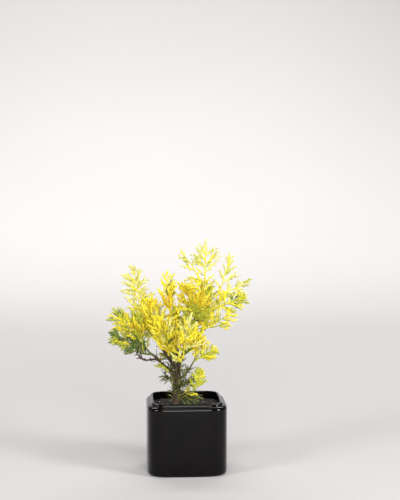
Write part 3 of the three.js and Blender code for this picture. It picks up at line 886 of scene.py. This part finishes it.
def grow_side_sprays(mass, sprays, random):
    """Finer sprays on the stem of a mass and on the ribs of its first sprays."""
    form = side_forms[mass.form]
    ease = side_eases.get(mass.name, side_ease)
    found = []
    full = fullness.get(mass.name, 1)
    count = round(mass.shoots * extra_shoots * full)
    for order in range(count):
        turn, lean, twist, size = draws(random, 4)
        along = (order + turn) / count
        round_stem = golden_angle * order + turn
        if mass.form == "fan":
            round_stem = math.pi * (order % 2) + form.turn * (turn - 0.5)
        pitch = mix(*stem_pitches, along) + stem_pitch_spread * (lean - 0.5)
        heading = leaning(mass, along, round_stem, pitch, upturn)
        longest = form.longest * (1 - form.shrink * along)
        twist = side_twist_spread * (twist - 0.5)
        found.append(fitted(mass, mass.stem.point(along), heading, twist, size, form, longest, ease))
    for spray in sprays:
        for order, place in enumerate(side_places[mass.form]):
            turn, lean, twist, size = draws(random, 4)
            # The later digits of a draw serve as one more draw.
            chance = 37 * lean % 1
            if chance > full * (1 if order < surest_places or full > 1 else outer_chance):
                continue
            foot = on_spray(spray, [(spray.length * (place + place_spread * (turn - 0.5)), 0, 0)])[0]
            out = turned(spray.side, spray.heading, math.pi * order + form.turn * (turn - 0.5))
            pitch = side_pitch + lean_spread * (lean - 0.5)
            rise = up * upturn * side_upturn
            heading = unit(spray.heading * math.cos(pitch) + out * math.sin(pitch) + rise)
            longest = min(form.longest, spray.length * mix(*side_lengths, place))
            twist = side_twist_spread * (twist - 0.5)
            found.append(fitted(mass, foot, heading, twist, size, form, longest, ease))
    return [spray for spray in found if spray]


# Young wood high on the plant has sprays of its own, to its left and right.
leafy_radius = 1.05
leafy_height = 108
leafy_from = {"right_bough": 84, "foot_right_bough": 68}
limb_form = SimpleNamespace(
    longest=13, shortest=7, width_share=0.34, turn=2.2, pitches=(0.7, 1.0), twist=1.2, curl=0.1,
)
limb_spray_spacing = 4.2
closer_sprays = {"left_arm": 2, "foot_right_bough": 2.4}


def leafy_start(limb, height):
    """The share along a limb from which it is leafy: where it is thin, and above a height."""
    leafy = (limb.radii < leafy_radius) & (limb.centres[:, 2] > height)
    return np.argmax(leafy) / len(leafy) if leafy.any() else 1


def branching(curve, along, round_curve, pitch, rise=0):
    """The way out of a curve at a turn round it, and a heading that leans that way at a pitch."""
    trend = curve.heading(along)
    out = turned(unit(np.cross(trend, away)), trend, round_curve)
    return out, unit(trend * math.cos(pitch) + out * math.sin(pitch) + up * rise)


def grow_limb_sprays(limb, mass, random):
    """Sprays to the left and right of a leafy limb, which go with the mass that it carries."""
    found = []
    start = leafy_start(limb, leafy_from.get(limb.name, leafy_height))
    count = int((1 - start) * limb.curve.length() / closer_sprays.get(limb.name, limb_spray_spacing))
    for order in range(count):
        turn, lean, twist, size = draws(random, 4)
        along = mix(start, 1, (order + 0.5) / count)
        round_limb = math.pi * (order % 2) + limb_form.turn * (turn - 0.5)
        _, heading = branching(limb.curve, along, round_limb, mix(*limb_form.pitches, lean), upturn)
        face = unit(np.cross(heading, limb.curve.heading(along)))
        face = turned(face, heading, limb_form.twist * (twist - 0.5))
        length = mix(limb_form.shortest, limb_form.longest, size)
        found.append(SimpleNamespace(
            foot=limb.curve.point(along), heading=heading, face=face, side=np.cross(face, heading),
            mass=mass, length=length, width=length * limb_form.width_share,
            curl=limb_form.curl * (lean - 0.35),
        ))
    return found


# A line of a spray, in the spray's own plane: where it starts, its angle to the rib and how far it
# turns forward, its length, the width of its scales, and how it lifts and rolls off the plane.
# Shoots on a short spray stand close and bare, and long ones are feathered with twiglets.
spray_lengths = (8, 26)
shoot_spacing = (2.1, 3.5)
shoot_scales = (1.8, 2.6)
shoot_narrowing = (0.62, 1)
spray_profile = (0, 0.25, 1), (0.55, 1, 0.22)
tuft_breadth = 1.25
rib_scale = 1.6
rib_bare = 0.06
leafy_share = 0.82
shoot_reach = (0.8, 1.12)
shoot_angles = (0.7, 0.44)
angle_spread = 0.14
shoot_places = (0.1, 0.93)
shoot_turns = (0.05, 0.3)
lift_spread = 0.4
roll_spread = 0.8
feathered = 2.5
twiglet_spacing = 2.4
twiglet_places = (0.15, 0.9)
longest_twiglet = 0.9
shortest_twiglet = 0.6
twiglet_reach = (0.85, 1.1)
twiglet_angle = 0.4
twiglet_turn = 0.2
twiglet_scale = 1.4


def frond_lines(spray, random):
    """Yields every leafy line of a spray: its rib, of rank 0, its shoots, and their twiglets."""
    yield SimpleNamespace(
        start=(0, 0), angle=0, turn=0, length=spray.length, scale=rib_scale, lift=0, roll=0, rank=0,
        bare=rib_bare, place=0,
    )
    broad = tuft_breadth if spray.mass.form == "tuft" else 1
    spacing = broad * np.interp(spray.length, spray_lengths, shoot_spacing)
    shoot_scale = broad * np.interp(spray.length, spray_lengths, shoot_scales)
    narrowing = np.interp(spray.length, spray_lengths, shoot_narrowing)
    count = max(3, round(spray.length * leafy_share / spacing))
    first_side = 1 if next(random) > 0.5 else -1
    for order in range(count):
        share = (order + 0.5) / count
        side = first_side * (-1) ** order
        out = spray.width / 2 * np.interp(share, *spray_profile) * mix(*shoot_reach, next(random))
        angle = narrowing * (mix(*shoot_angles, share) + angle_spread * (next(random) - 0.5))
        shoot = SimpleNamespace(
            start=(spray.length * mix(*shoot_places, share), 0), angle=side * angle,
            turn=-side * mix(*shoot_turns, next(random)), length=out / math.sin(angle * 0.88),
            scale=shoot_scale, rank=1, bare=0, place=share,
            lift=lift_spread * (next(random) - 0.5), roll=roll_spread * (next(random) - 0.5),
        )
        yield shoot
        twiglets = int(shoot.length * 0.75 / twiglet_spacing / broad) if shoot.length > feathered else 0
        for inner in range(twiglets):
            along = mix(*twiglet_places, (inner + 0.5) / twiglets)
            inner_side = side * (-1) ** inner
            reach = min(longest_twiglet, 0.2 * shoot.length) * (1 - along) + shortest_twiglet
            yield SimpleNamespace(
                start=line_points(shoot, np.array([along]))[0, :2], bare=0, place=share,
                angle=shoot.angle + shoot.turn * along + inner_side * twiglet_angle,
                turn=-inner_side * twiglet_turn,
                length=reach * mix(*twiglet_reach, next(random)), scale=twiglet_scale * broad, rank=2,
                lift=shoot.lift, roll=shoot.roll, raised=shoot.lift * along * shoot.length,
            )


line_steps = 8


def line_points(line, shares):
    """Points along, aside and off the plane of a spray, at shares of a line."""
    steps = np.linspace(0, 1, line_steps + 1)
    angles = line.angle + line.turn * steps
    flat = []
    for start, slopes in zip(line.start, (np.cos(angles), np.sin(angles))):
        track = np.concatenate([[0], np.cumsum((slopes[1:] + slopes[:-1]) / 2)]) / line_steps
        flat.append(start + line.length * np.interp(shares, steps, track))
    lift = getattr(line, "raised", 0) + line.lift * line.length * shares
    return np.stack([*flat, lift], axis=1)


# A whorl of four scale leaves, in shares of its pitch, half width and half thickness: one keeled
# leaf on each edge with its tip spreading, and one flat leaf above and one below.
leaf_faces = [(0, 1, 3), (0, 3, 2), (0, 2, 1), (4, 3, 1), (4, 2, 3), (4, 1, 2)]


def scale_leaf(root, left, right, keel, tip):
    """A leaf's points and faces."""
    shape = np.array([root, left, right, keel, tip], float)
    return shape, outward(shape, leaf_faces)


edge_leaf = scale_leaf((0, 0, 0), (0.55, 0.42, 0.75), (0.55, 0.42, -0.75), (0.8, 0.95, 0), (1.6, 0.72, 0))
flat_leaf = scale_leaf((-0.3, 0, 0), (0.35, 0.5, 0.3), (0.35, -0.5, 0.3), (0.45, 0, 1), (1.25, 0, 0.75))


def mirrored(leaf, axis):
    """A leaf mirrored across an axis."""
    shape = leaf[0].copy()
    shape[:, axis] *= -1
    return shape, leaf[1][:, ::-1]


def gathered(*single):
    """The points and faces of several leaves as one shape."""
    faces = [triangles + len(shape) * order for order, (shape, triangles) in enumerate(single)]
    return np.concatenate([shape for shape, _ in single]), np.concatenate(faces)


edge_pair = edge_leaf, mirrored(edge_leaf, 1)
shapes = {"whorl": gathered(*edge_pair, flat_leaf, mirrored(flat_leaf, 2)), "pair": gathered(*edge_pair)}
whorl_pitch = 1.45
scale_thickness = 0.55

# The tints of the scale leaves, and how much of each a mass of a tint has near the feet of its
# sprays and near their tips: bright towards the tips and green towards the older wood. The pale and
# yellow tips are partly young gold growth and partly a painted highlight, and the ochre and green
# near the feet are partly older foliage and partly painted shade for the inside of the crown.
palettes = {
    "yellow": (
        {"ochre": 0.36, "yellow": 0.4, "lime": 0.2, "green": 0.04},
        {"yellow": 0.78, "pale": 0.16, "ochre": 0.06},
    ),
    "pale": (
        {"yellow": 0.5, "lime": 0.3, "ochre": 0.2},
        {"lime": 0.1, "pale": 0.52, "yellow": 0.3, "ochre": 0.08},
    ),
    "olive": (
        {"green": 0.16, "lime": 0.66, "ochre": 0.18},
        {"lime": 0.54, "yellow": 0.28, "ochre": 0.18},
    ),
    "ochre": (
        {"ochre": 0.78, "lime": 0.16, "green": 0.06},
        {"ochre": 0.36, "yellow": 0.64},
    ),
    "lime": (
        {"green": 0.3, "lime": 0.54, "yellow": 0.12, "dark": 0.04},
        {"lime": 0.34, "yellow": 0.44, "pale": 0.22},
    ),
    "green": (
        {"green": 0.56, "dark": 0.34, "lime": 0.1},
        {"green": 0.46, "lime": 0.34, "yellow": 0.14, "dark": 0.06},
    ),
    "deep": (
        {"green": 0.6, "dark": 0.34, "lime": 0.06},
        {"green": 0.64, "lime": 0.24, "dark": 0.12},
    ),
}
# Masses whose sprays have another palette than the one of their tint
mass_palettes = {
    "leader_tip": "pale", "upper_left_fan": "pale", "centre_right_tuft": "olive",
    "inner_right_tuft": "olive", "inner_pale_tuft": "olive", "pale_left_fan": "lime",
    "foot_right_spray": "olive", "right_fan": "lime", "low_left_fan": "deep",
}
tip_share = 0.3
two_toned = 0.65
patch_size = 11
patch_chance = 0.3
strays = 0.06


def picked(palette, share):
    """The tint of a palette at a share from 0 to 1."""
    for tint, part in palette.items():
        share -= part
        if share < 0:
            return tint
    return tint


def patch_share(point, chance):
    """A share from 0 to 1, much alike all over a patch of the crown, that varies a little by chance."""
    place = 0.5 + 1.2 * noise.noise(Vector(point / patch_size))
    return min(0.999, max(0, mix(place, chance, patch_chance)))


leaves = {}
cores = []


def lay_leaves(tint, node, points, rolls, widths, thicknesses, face, shape="whorl"):
    """Adds leaves along a line, each turned about it by a roll from a face."""
    forward = np.diff(points, axis=0)
    out = np.cross(face, forward)
    out /= np.linalg.norm(out, axis=1, keepdims=True)
    lift = np.cross(forward, out)
    lift /= np.linalg.norm(lift, axis=1, keepdims=True)
    cosine, sine = np.cos(rolls)[:, None], np.sin(rolls)[:, None]
    aside = (out * cosine + lift * sine) * widths[:, None]
    upward = (lift * cosine - out * sine) * thicknesses[:, None]
    leaves.setdefault(tint, []).append((node, shape, (points[:-1], forward, aside, upward)))


# How slim the sprays of some masses are, and how low the tips of others may hang
slimness = {
    "centre_top_tuft": 0.8, "top_left_fan": 0.7, "leader_tip": 0.6, "upper_right_fan": 0.6,
    "upper_left_fan": 0.7, "far_right_fan": 0.8, "foot_right_spray": 0.6,
}
hems = {
    "drooping_right_fan": 128, "low_right_fan": 128, "low_left_fan": 107, "outer_left_fan": 110,
    "low_front_tuft": 104, "front_tuft": 114, "low_centre_tuft": 104,
}
# How far forward the source's crown reaches, which no spray goes past
foremost = -41
tip_clearance = 1.5
trim = 0.95
core_radii = (0.42, 0.26)
core_share = 0.95
blade_taper = 0.75


def frond_tip(spray):
    """The point where a spray's rib ends."""
    return on_spray(spray, [(spray.length, 0, 0)])[0]


def grow_frond(spray, random):
    """Adds the leaves and the cores of a spray's lines."""
    if frond_tip(spray)[2] < hems.get(spray.mass.name, 0):
        return
    while frond_tip(spray)[1] < foremost + tip_clearance:
        spray.length *= trim
    spray.width *= slimness.get(spray.mass.name, 1)
    blend = palettes[mass_palettes.get(spray.mass.name, spray.mass.tint)]
    near, far = (picked(palette, patch_share(spray.foot, next(random))) for palette in blend)
    if next(random) > two_toned:
        near = far
    for line in frond_lines(spray, random):
        if line.rank < 2:
            tint = far if line.place > tip_share else near
            if line.rank == 1 and next(random) < strays:
                tint = picked(blend[line.place > tip_share], next(random))
        count = max(1, round(line.length * (1 - line.bare) / whorl_pitch))
        shares = line.bare + (1 - line.bare) * np.arange(count + 1) / count
        points = crooked(on_spray(spray, line_points(line, shares)))
        if line.rank > 0 and points[:, 1].min() < foremost:
            continue
        if line.rank < 2:
            core_shares = np.linspace(0, core_share, max(3, count // 2))
            core = crooked(on_spray(spray, line_points(line, core_shares)))
            thick = core_radii[line.rank]
            cores.append((core, np.linspace(thick, thick * 0.5, len(core))))
        widths = line.scale / 2 * (1 - blade_taper * (np.arange(count) / count) ** 2)
        thicknesses = scale_thickness * widths / (rib_scale / 2)
        rolls = np.full(count, line.roll)
        shape = "pair" if line.rank == 2 else "whorl"
        lay_leaves(tint, spray.mass.name, points, rolls, widths, thicknesses, spray.face, shape)


stem_overlap = 0.9
stem_scale = 1.6
stem_roundness = 0.9


def clothe(mass, curve, start, radii, tint):
    """Lays scale leaves all round a stem from a share of its length on."""
    count = int(curve.length() * (1 - start) / (whorl_pitch * stem_overlap))
    shares = np.linspace(start, 1, count + 1)
    points = crooked(curve.point(shares))
    widths = mix(*radii, shares[:-1]) * stem_scale
    rolls = math.pi / 4 * (np.arange(count) % 2)
    lay_leaves(tint, mass.name, points, rolls, widths, widths * stem_roundness, mass.through)


stems = {"golden": [], "green": []}
golden_tints = ("yellow", "pale", "ochre")
needled = []
stem_tips = 0.3
stem_tints = {"pale": "yellow"}
stem_shares = np.linspace(0, 1, 13)
for mass in masses:
    random = seeded(mass.seed)
    if mass.name != "left_spur_twigs":
        wood = "golden" if mass.tint in golden_tints else "green"
        stem_radii = mix(mass.stem_thick, stem_tips, stem_shares)
        stems[wood].append((crooked(mass.whole.point(stem_shares)), stem_radii))
    if mass.form == "needles":
        needled.append(mass)
        continue
    clothe(mass, mass.whole, 0, (mass.stem_thick, stem_tips), stem_tints.get(mass.tint, mass.tint))
    sprays = grow_sprays(mass, random)
    sprays += grow_side_sprays(mass, sprays, random)
    for spray in sprays:
        grow_frond(spray, random)

leafy = {mass.limb: mass for mass in reversed(masses) if mass.form != "needles"}
leafy["left_arm"] = next(mass for mass in masses if mass.name == "low_left_fan")
for order, (name, mass) in enumerate(leafy.items()):
    limb = limbs[name]
    start = leafy_start(limb, leafy_height)
    random = seeded(first_seed + len(masses) + order)
    if start < 1:
        clothe(mass, limb.curve, start, (limb.thick, limb.thin), stem_tints.get(mass.tint, mass.tint))
    for spray in grow_limb_sprays(limb, mass, random):
        grow_frond(spray, random)


def scale_finish(name, deep, bright, fleck):
    """Satin scale leaves: a deep and a bright shade of one colour, with flecks of another."""
    finish = Finish(
        name, Specular_IOR_Level=0.4, Subsurface_Weight=0.25, Subsurface_Radius=(0.8, 0.6, 0.15),
        Subsurface_Scale=0.0012,
    )
    shade = finish.between(finish.speckle(900, 2).step(0.3, 0.7), deep, bright)
    finish.feed("Base Color", finish.between(finish.speckle(330, 1).step(0.6, 0.75) * 0.6, shade, fleck))
    finish.feed("Roughness", finish.speckle(700, 1) * 0.2 + 0.42)
    finish.raise_by(finish.speckle(2600, 1), 0.00012, 0.5)
    return finish


leaf_colours = {
    # tint: deep, bright and fleck colours
    "yellow": ((0.80, 0.62, 0.012), (0.92, 0.80, 0.05), (0.76, 0.66, 0.03)),
    "pale": ((0.66, 0.61, 0.12), (0.76, 0.72, 0.25), (0.58, 0.58, 0.10)),
    "ochre": ((0.58, 0.38, 0.006), (0.80, 0.58, 0.012), (0.44, 0.33, 0.015)),
    "lime": ((0.34, 0.36, 0.015), (0.58, 0.57, 0.04), (0.26, 0.27, 0.02)),
    "green": ((0.05, 0.10, 0.010), (0.13, 0.21, 0.02), (0.24, 0.27, 0.025)),
    "dark": ((0.022, 0.035, 0.010), (0.06, 0.085, 0.022), (0.08, 0.06, 0.02)),
}
most_triangles = 190000


def parted(groups):
    """Groups of leaves shared out into parts that each stay under the most for one piece."""
    parts, room = [], 0
    for group in groups:
        triangles = len(group[2][0]) * len(shapes[group[1]][1])
        if triangles > room:
            parts.append([])
            room = most_triangles
        parts[-1].append(group)
        room -= triangles
    return parts


def leaf_mesh(name, part):
    """One mesh of all the leaves of a part."""
    points, faces, base = [], [], 0
    for kind, (shape, shape_faces) in shapes.items():
        rows = [arrays for _, row_kind, arrays in part if row_kind == kind]
        if rows:
            columns = [np.concatenate(column) for column in zip(*rows)]
            kind_points, kind_faces = copies(shape, shape_faces, *columns)
            points.append(kind_points)
            faces.append(kind_faces + base)
            base += len(kind_points)
    return joined_mesh(name, np.concatenate(points), np.concatenate(faces))


for tint, groups in leaves.items():
    finish = scale_finish(f"{tint}_scales", *leaf_colours[tint])
    for order, part in enumerate(parted(groups)):
        piece = leaf_mesh(f"{tint}_scale_leaves_{order + 1}", part)
        nodes = sorted({node for node, _, _ in part})
        finish_piece(piece, finish, f"{tint}_foliage", *nodes)

# The needles
# The first leaves of a seedling, and those on old wood near its foot, are soft curved needles that
# stand out all round the stem. They are dark green, and hide the foot of the trunk.

needle_stations = (0, 0.35, 0.7)
needle_shape = np.array([
    *[point for s in needle_stations for point in ((s, 1, s * s), (s, -1, s * s), (s, 0, s * s - 0.25))],
    (1, 0, 1),
])
needle_faces = [(0, 1, 2)]
for ring in (0, 3):
    for i in range(3):
        here, following = ring + i, ring + (i + 1) % 3
        needle_faces += [(here, following + 3, following), (here, here + 3, following + 3)]
needle_faces = np.array([*needle_faces, (6, 9, 7), (7, 9, 8), (8, 9, 6)])
needle_width = 1.1
needles = {}


def add_needle(tint, node, foot, heading, length, curve):
    """Adds a needle that leaves its foot along a heading and curves up, or over with a negative curve."""
    rise = unit(up - (up @ heading) * heading + 1e-6 * away)
    aside = np.cross(rise, heading)
    base = crooked(foot[None])[0]
    row = (base, heading * length, aside * needle_width / 2, rise * curve * length)
    needles.setdefault(tint, []).append((node, row))


first_needle = 0.12
needle_spread = 0.5
needle_rise = 0.15
needle_ease = 3
shortest_needle = 2
needle_lengths = (0.75, 1.15)
needle_curves = (-0.7, 0.25)
lit_share = 0.2


def grow_needles(mass, random, fineness, share):
    """The source's rule for a twig of needles, with more of them, which arch over as they run out."""
    form = forms[mass.form]
    count = mass.shoots * fineness
    for order in range(count):
        turn, lean, size = draws(random, 3)
        along = mix(first_needle, 1, (order + 0.5) / count)
        foot = mass.stem.point(along)
        pitch = mix(form.widest, form.narrowest, along) + needle_spread * (lean - 0.5)
        heading = leaning(mass, along, golden_angle * order + turn, pitch, needle_rise)
        length = min(form.longest, room_along(mass, foot, heading, needle_ease))
        if length > shortest_needle:
            length *= share * mix(*needle_lengths, size)
            # A painted highlight: a share of the needles takes the lighter green tint instead of the dark
            # one.
            tint = "green" if turn < lit_needles.get(mass.name, lit_share) else "dark"
            add_needle(tint, mass.name, foot, heading, length, mix(*needle_curves, lean))


# How many needles on these twigs take the lighter green tint: a painted highlight for needles in the
# light.
lit_needles = {"soil_needles": 0.6, "foot_right_needles": 0.6, "foot_front_needles": 0.4}
needle_reach = {"soil_needles": 1.2, "foot_right_needles": 1.15, "foot_front_needles": 1.15}
needle_fineness = {"foot_left_needles": 2, "foot_front_needles": 3, "foot_right_needles": 4}
for mass in needled:
    random = seeded(mass.seed)
    if mass.name != "left_spur_twigs":
        grow_needles(mass, random, needle_fineness.get(mass.name, 6), needle_reach.get(mass.name, 1))

# Needles on the trunk itself and on the feet of its boughs
trunk_needles = [
    # limb, first share, last share, count, shortest, longest, node
    ("trunk", 0.03, 0.35, 40, 5, 10, "foot_front_needles"),
    ("trunk", 0.3, 1.0, 66, 6, 12, "foot_front_needles"),
    ("leader", 0.0, 0.1, 14, 5, 10, "foot_front_needles"),
    ("left_bough", 0.0, 0.3, 14, 5, 9, "foot_left_needles"),
    ("high_left_bough", 0.0, 0.25, 12, 5, 9, "foot_left_needles"),
    ("inner_left_bough", 0.0, 0.4, 12, 4, 9, "foot_left_needles"),
    ("right_bough", 0.0, 0.5, 26, 5, 9, "foot_right_needles"),
    ("front_bough", 0.0, 0.3, 10, 4, 9, "foot_front_needles"),
    ("back_bough", 0.0, 0.4, 16, 5, 10, "foot_back_needles"),
]
rooted = 0.7
trunk_pitches = (0.6, 1.2)
trunk_curves = (-0.5, 0.3)
dark_share = 0.6
random = seeded(first_seed * 7)
for name, first, last, count, shortest, longest, node in trunk_needles:
    limb = limbs[name]
    for order in range(count):
        turn, lean, size = draws(random, 3)
        along = mix(first, last, (order + turn) / count)
        round_limb = golden_angle * order + turn
        out, heading = branching(limb.curve, along, round_limb, mix(*trunk_pitches, lean))
        foot = limb.curve.point(along) + out * float(widen(limb, along)) * rooted
        length, curve = mix(shortest, longest, size), mix(*trunk_curves, turn)
        add_needle("dark" if size < dark_share else "green", node, foot, heading, length, curve)

# The green tint is a lighter copy of the dark one. Where lit_needles deals it out it is a painted
# highlight, and on the trunk it is mixed in at random.
needle_colours = {
    "dark": ((0.018, 0.026, 0.008), (0.07, 0.08, 0.02), (0.12, 0.10, 0.03)),
    "green": ((0.035, 0.05, 0.010), (0.16, 0.17, 0.025), (0.38, 0.34, 0.08)),
}
for tint, rows in needles.items():
    arrays = [np.array(column) for column in zip(*(row for _, row in rows))]
    piece = joined_mesh(f"{tint}_needles", *copies(needle_shape, needle_faces, *arrays))
    nodes = sorted({node for node, _ in rows})
    finish_piece(piece, scale_finish(f"{tint}_needles", *needle_colours[tint]), f"{tint}_foliage", *nodes)

# The twigs
# Each mass hangs on one green or golden twig that grows from its limb, and each spray has a fine
# core of its own under the scales. The spur on the left is bare, with crooked brown twigs.

spur = next(mass for mass in masses if mass.name == "left_spur_twigs")
bare_twigs = [(crooked(spur.whole.point(stem_shares)), mix(0.95, 0.55, stem_shares))]
twig_places = [
    # curve, first share, last share, count, shortest, longest, radius
    (limbs["left_spur"].curve, 0.1, 1, 4, 4, 8, 0.55),
    (spur.stem, 0.1, 0.95, 6, 5, 10, 0.6),
    (limbs["left_bough"].curve, 0.35, 0.95, 8, 5, 10, 0.4),
    (limbs["inner_left_bough"].curve, 0.3, 0.9, 5, 5, 9, 0.35),
    (limbs["high_left_bough"].curve, 0.15, 0.5, 5, 5, 9, 0.35),
]
twig_turn = 1.4
twig_pitches = (0.5, 1.1)
twig_run = 0.8
twig_rises = (-0.15, 0.6)
twig_bend = 0.6
random = seeded(spur.seed)
for curve, first, last, count, shortest, longest, radius in twig_places:
    for order in range(count):
        turn, lean, size, bend = draws(random, 4)
        along = mix(first, last, (order + turn) / count)
        round_curve = math.pi * order + twig_turn * (turn - 0.5)
        _, heading = branching(curve, along, round_curve, mix(*twig_pitches, lean))
        foot, length = curve.point(along), mix(shortest, longest, size)
        tip = foot + heading * length * twig_run + up * length * mix(*twig_rises, bend)
        twig = Bend(foot, foot + heading * length * twig_bend, tip)
        steps = np.linspace(0, 1, 9)
        bare_twigs.append((crooked(twig.point(steps)), np.linspace(radius, radius * 0.5, 9)))


def tubes(lines, sides):
    """Closed tubes along lines, each line being its points and its radii, with like counts joined."""
    points, faces, base = [], [], 0
    turns = np.arange(sides) * 2 * math.pi / sides
    for count in sorted({len(radii) for _, radii in lines}):
        batch = [line for line in lines if len(line[1]) == count]
        centres = np.array([line[0] for line in batch], float)
        radii = np.array([line[1] for line in batch], float)
        rings = rings_round(centres, turns, radii)
        points.append(rings.reshape(-1, 3))
        one = tube_faces(count, sides)
        starts = base + np.arange(len(batch))[:, None, None] * count * sides
        faces.append((one[None] + starts).reshape(-1, 3))
        base += len(batch) * count * sides
    return np.concatenate(points), np.concatenate(faces)


twig_piece = joined_mesh("bare_twigs", *tubes(bare_twigs, 6))
finish_piece(twig_piece, brown_bark, "bark", "left_spur_twigs")

golden_bark = bark("golden_bark", (0.16, 0.13, 0.02), (0.42, 0.34, 0.05), (0.30, 0.30, 0.04))
for wood, finish in (("golden", golden_bark), ("green", green_bark)):
    piece = joined_mesh(f"{wood}_stems", *tubes(stems[wood], 8))
    finish_piece(piece, finish, "green_bark")
core_piece = joined_mesh("spray_cores", *tubes(cores, 3))
core_finish = scale_finish("spray_cores", (0.12, 0.10, 0.015), (0.30, 0.24, 0.03), (0.12, 0.07, 0.02))
finish_piece(core_piece, core_finish, "lime_foliage")

# The studio
# A seamless pale sweep of paper that runs from the floor up behind the pot. Soft lights hang in
# front, to the left, to the right and above the pot, and others light the paper and the back.

eye_distance = 1171.6
eye_pitch = math.radians(5.0)
eye_turn = math.radians(-3.137)
aim_height = 199.2
aim_right = 12.7
focal_pixels = 1304.455
photo_height = 500
sensor = 36

back = Vector((
    math.sin(eye_turn) * math.cos(eye_pitch),
    -math.cos(eye_turn) * math.cos(eye_pitch),
    math.sin(eye_pitch),
))
right = Vector((math.cos(eye_turn), math.sin(eye_turn), 0))
eye = (back * eye_distance + Vector((0, 0, aim_height))) * MM
aim = (right * aim_right + Vector((0, 0, aim_height))) * MM
lens = bpy.data.cameras.new("camera")
lens.sensor_width = sensor
lens.lens = focal_pixels / photo_height * sensor
camera = bpy.data.objects.new("camera", lens)
camera.location = eye
camera.rotation_euler = (aim - eye).to_track_quat("-Z", "Y").to_euler()
bpy.context.collection.objects.link(camera)
bpy.context.scene.camera = camera
bpy.context.scene.view_settings.view_transform = "Standard"


def pick_edge(piece, lowest, highest):
    """Selects the far edge of the sweep that lies between two heights, in metres."""
    bpy.ops.mesh.select_all(action="DESELECT")
    sheet = bmesh.from_edit_mesh(piece.data)
    for edge in sheet.edges:
        edge.select_set(all(v.co.y > 1 and lowest < v.co.z < highest for v in edge.verts))
    bmesh.update_edit_mesh(piece.data)


floor_half = (5, 3.4, 1)
floor_shift = (0, 0.1, -0.00005)
wall_height = 3
wall_bend = 2.2
bpy.ops.object.select_all(action="DESELECT")
bpy.ops.mesh.primitive_plane_add(size=2, location=(0, 0, 0))
sweep = bpy.context.active_object
sweep.name = "studio_sweep"
bpy.ops.object.mode_set(mode="EDIT")
bpy.ops.mesh.select_mode(type="EDGE")
bpy.ops.transform.resize(value=floor_half)
bpy.ops.transform.translate(value=floor_shift)
pick_edge(sweep, -1, 1)
bpy.ops.mesh.extrude_region_move(TRANSFORM_OT_translate={"value": (0, 0, wall_height)})
pick_edge(sweep, -1, 1)
bpy.ops.mesh.bevel(offset=wall_bend, segments=40, affect="EDGES")
bpy.ops.mesh.select_mode(type="VERT")
bpy.ops.object.mode_set(mode="OBJECT")
bpy.ops.object.shade_smooth()
paper = Finish("pale_sweep", Roughness=0.7, Specular_IOR_Level=0.03)
paper.feed("Base Color", paper.between(paper.speckle(2, 2), (0.38, 0.368, 0.367), (0.40, 0.388, 0.387)))
sweep.data.materials.append(paper.material)
sweep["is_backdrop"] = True


def soft_light(name, place, target, size, power, colour=(1, 1, 1)):
    """An area light that faces a target."""
    lamp = bpy.data.lights.new(name, "AREA")
    lamp.shape = "RECTANGLE"
    lamp.size, lamp.size_y = size
    lamp.energy = power
    lamp.color = colour
    holder = bpy.data.objects.new(name, lamp)
    holder.location = place
    holder.rotation_euler = (Vector(target) - Vector(place)).to_track_quat("-Z", "Y").to_euler()
    bpy.context.collection.objects.link(holder)


crown = (0, 0, 0.12)
soft_light("right_softbox", (1.15, -0.85, 0.62), crown, (0.4, 0.5), 27)
soft_light("left_softbox", (-1.15, -0.8, 0.75), crown, (0.4, 0.5), 15)
soft_light("front_softbox", (0, -1.6, 0.52), crown, (1.1, 0.3), 32)
soft_light("top_softbox", (0, -0.5, 1.05), (0, 0, 0.06), (0.7, 0.24), 3)
soft_light("floor_light", (0, 0.75, 0.95), (0, 0.75, 0), (2.4, 0.3), 7)
soft_light("sweep_light", (0, 1.45, 1.9), (0, 2.0, 0.1), (2.6, 0.8), 60)
soft_light("back_light", (0, 1.2, 1.2), (0, 3.2, 0.6), (2.6, 0.5), 26)
world = bpy.data.worlds.new("studio")
world.use_nodes = True
world.node_tree.nodes["Background"].inputs["Color"].default_value = (1, 0.985, 0.98, 1)
world.node_tree.nodes["Background"].inputs["Strength"].default_value = 0.1
bpy.context.scene.world = world

# The two boxes, so that the dressed plant can be set against the frame
boxes = {"cad": cad_box, "visual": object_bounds()}
{name: [list(corner) for corner in box] for name, box in boxes.items()}
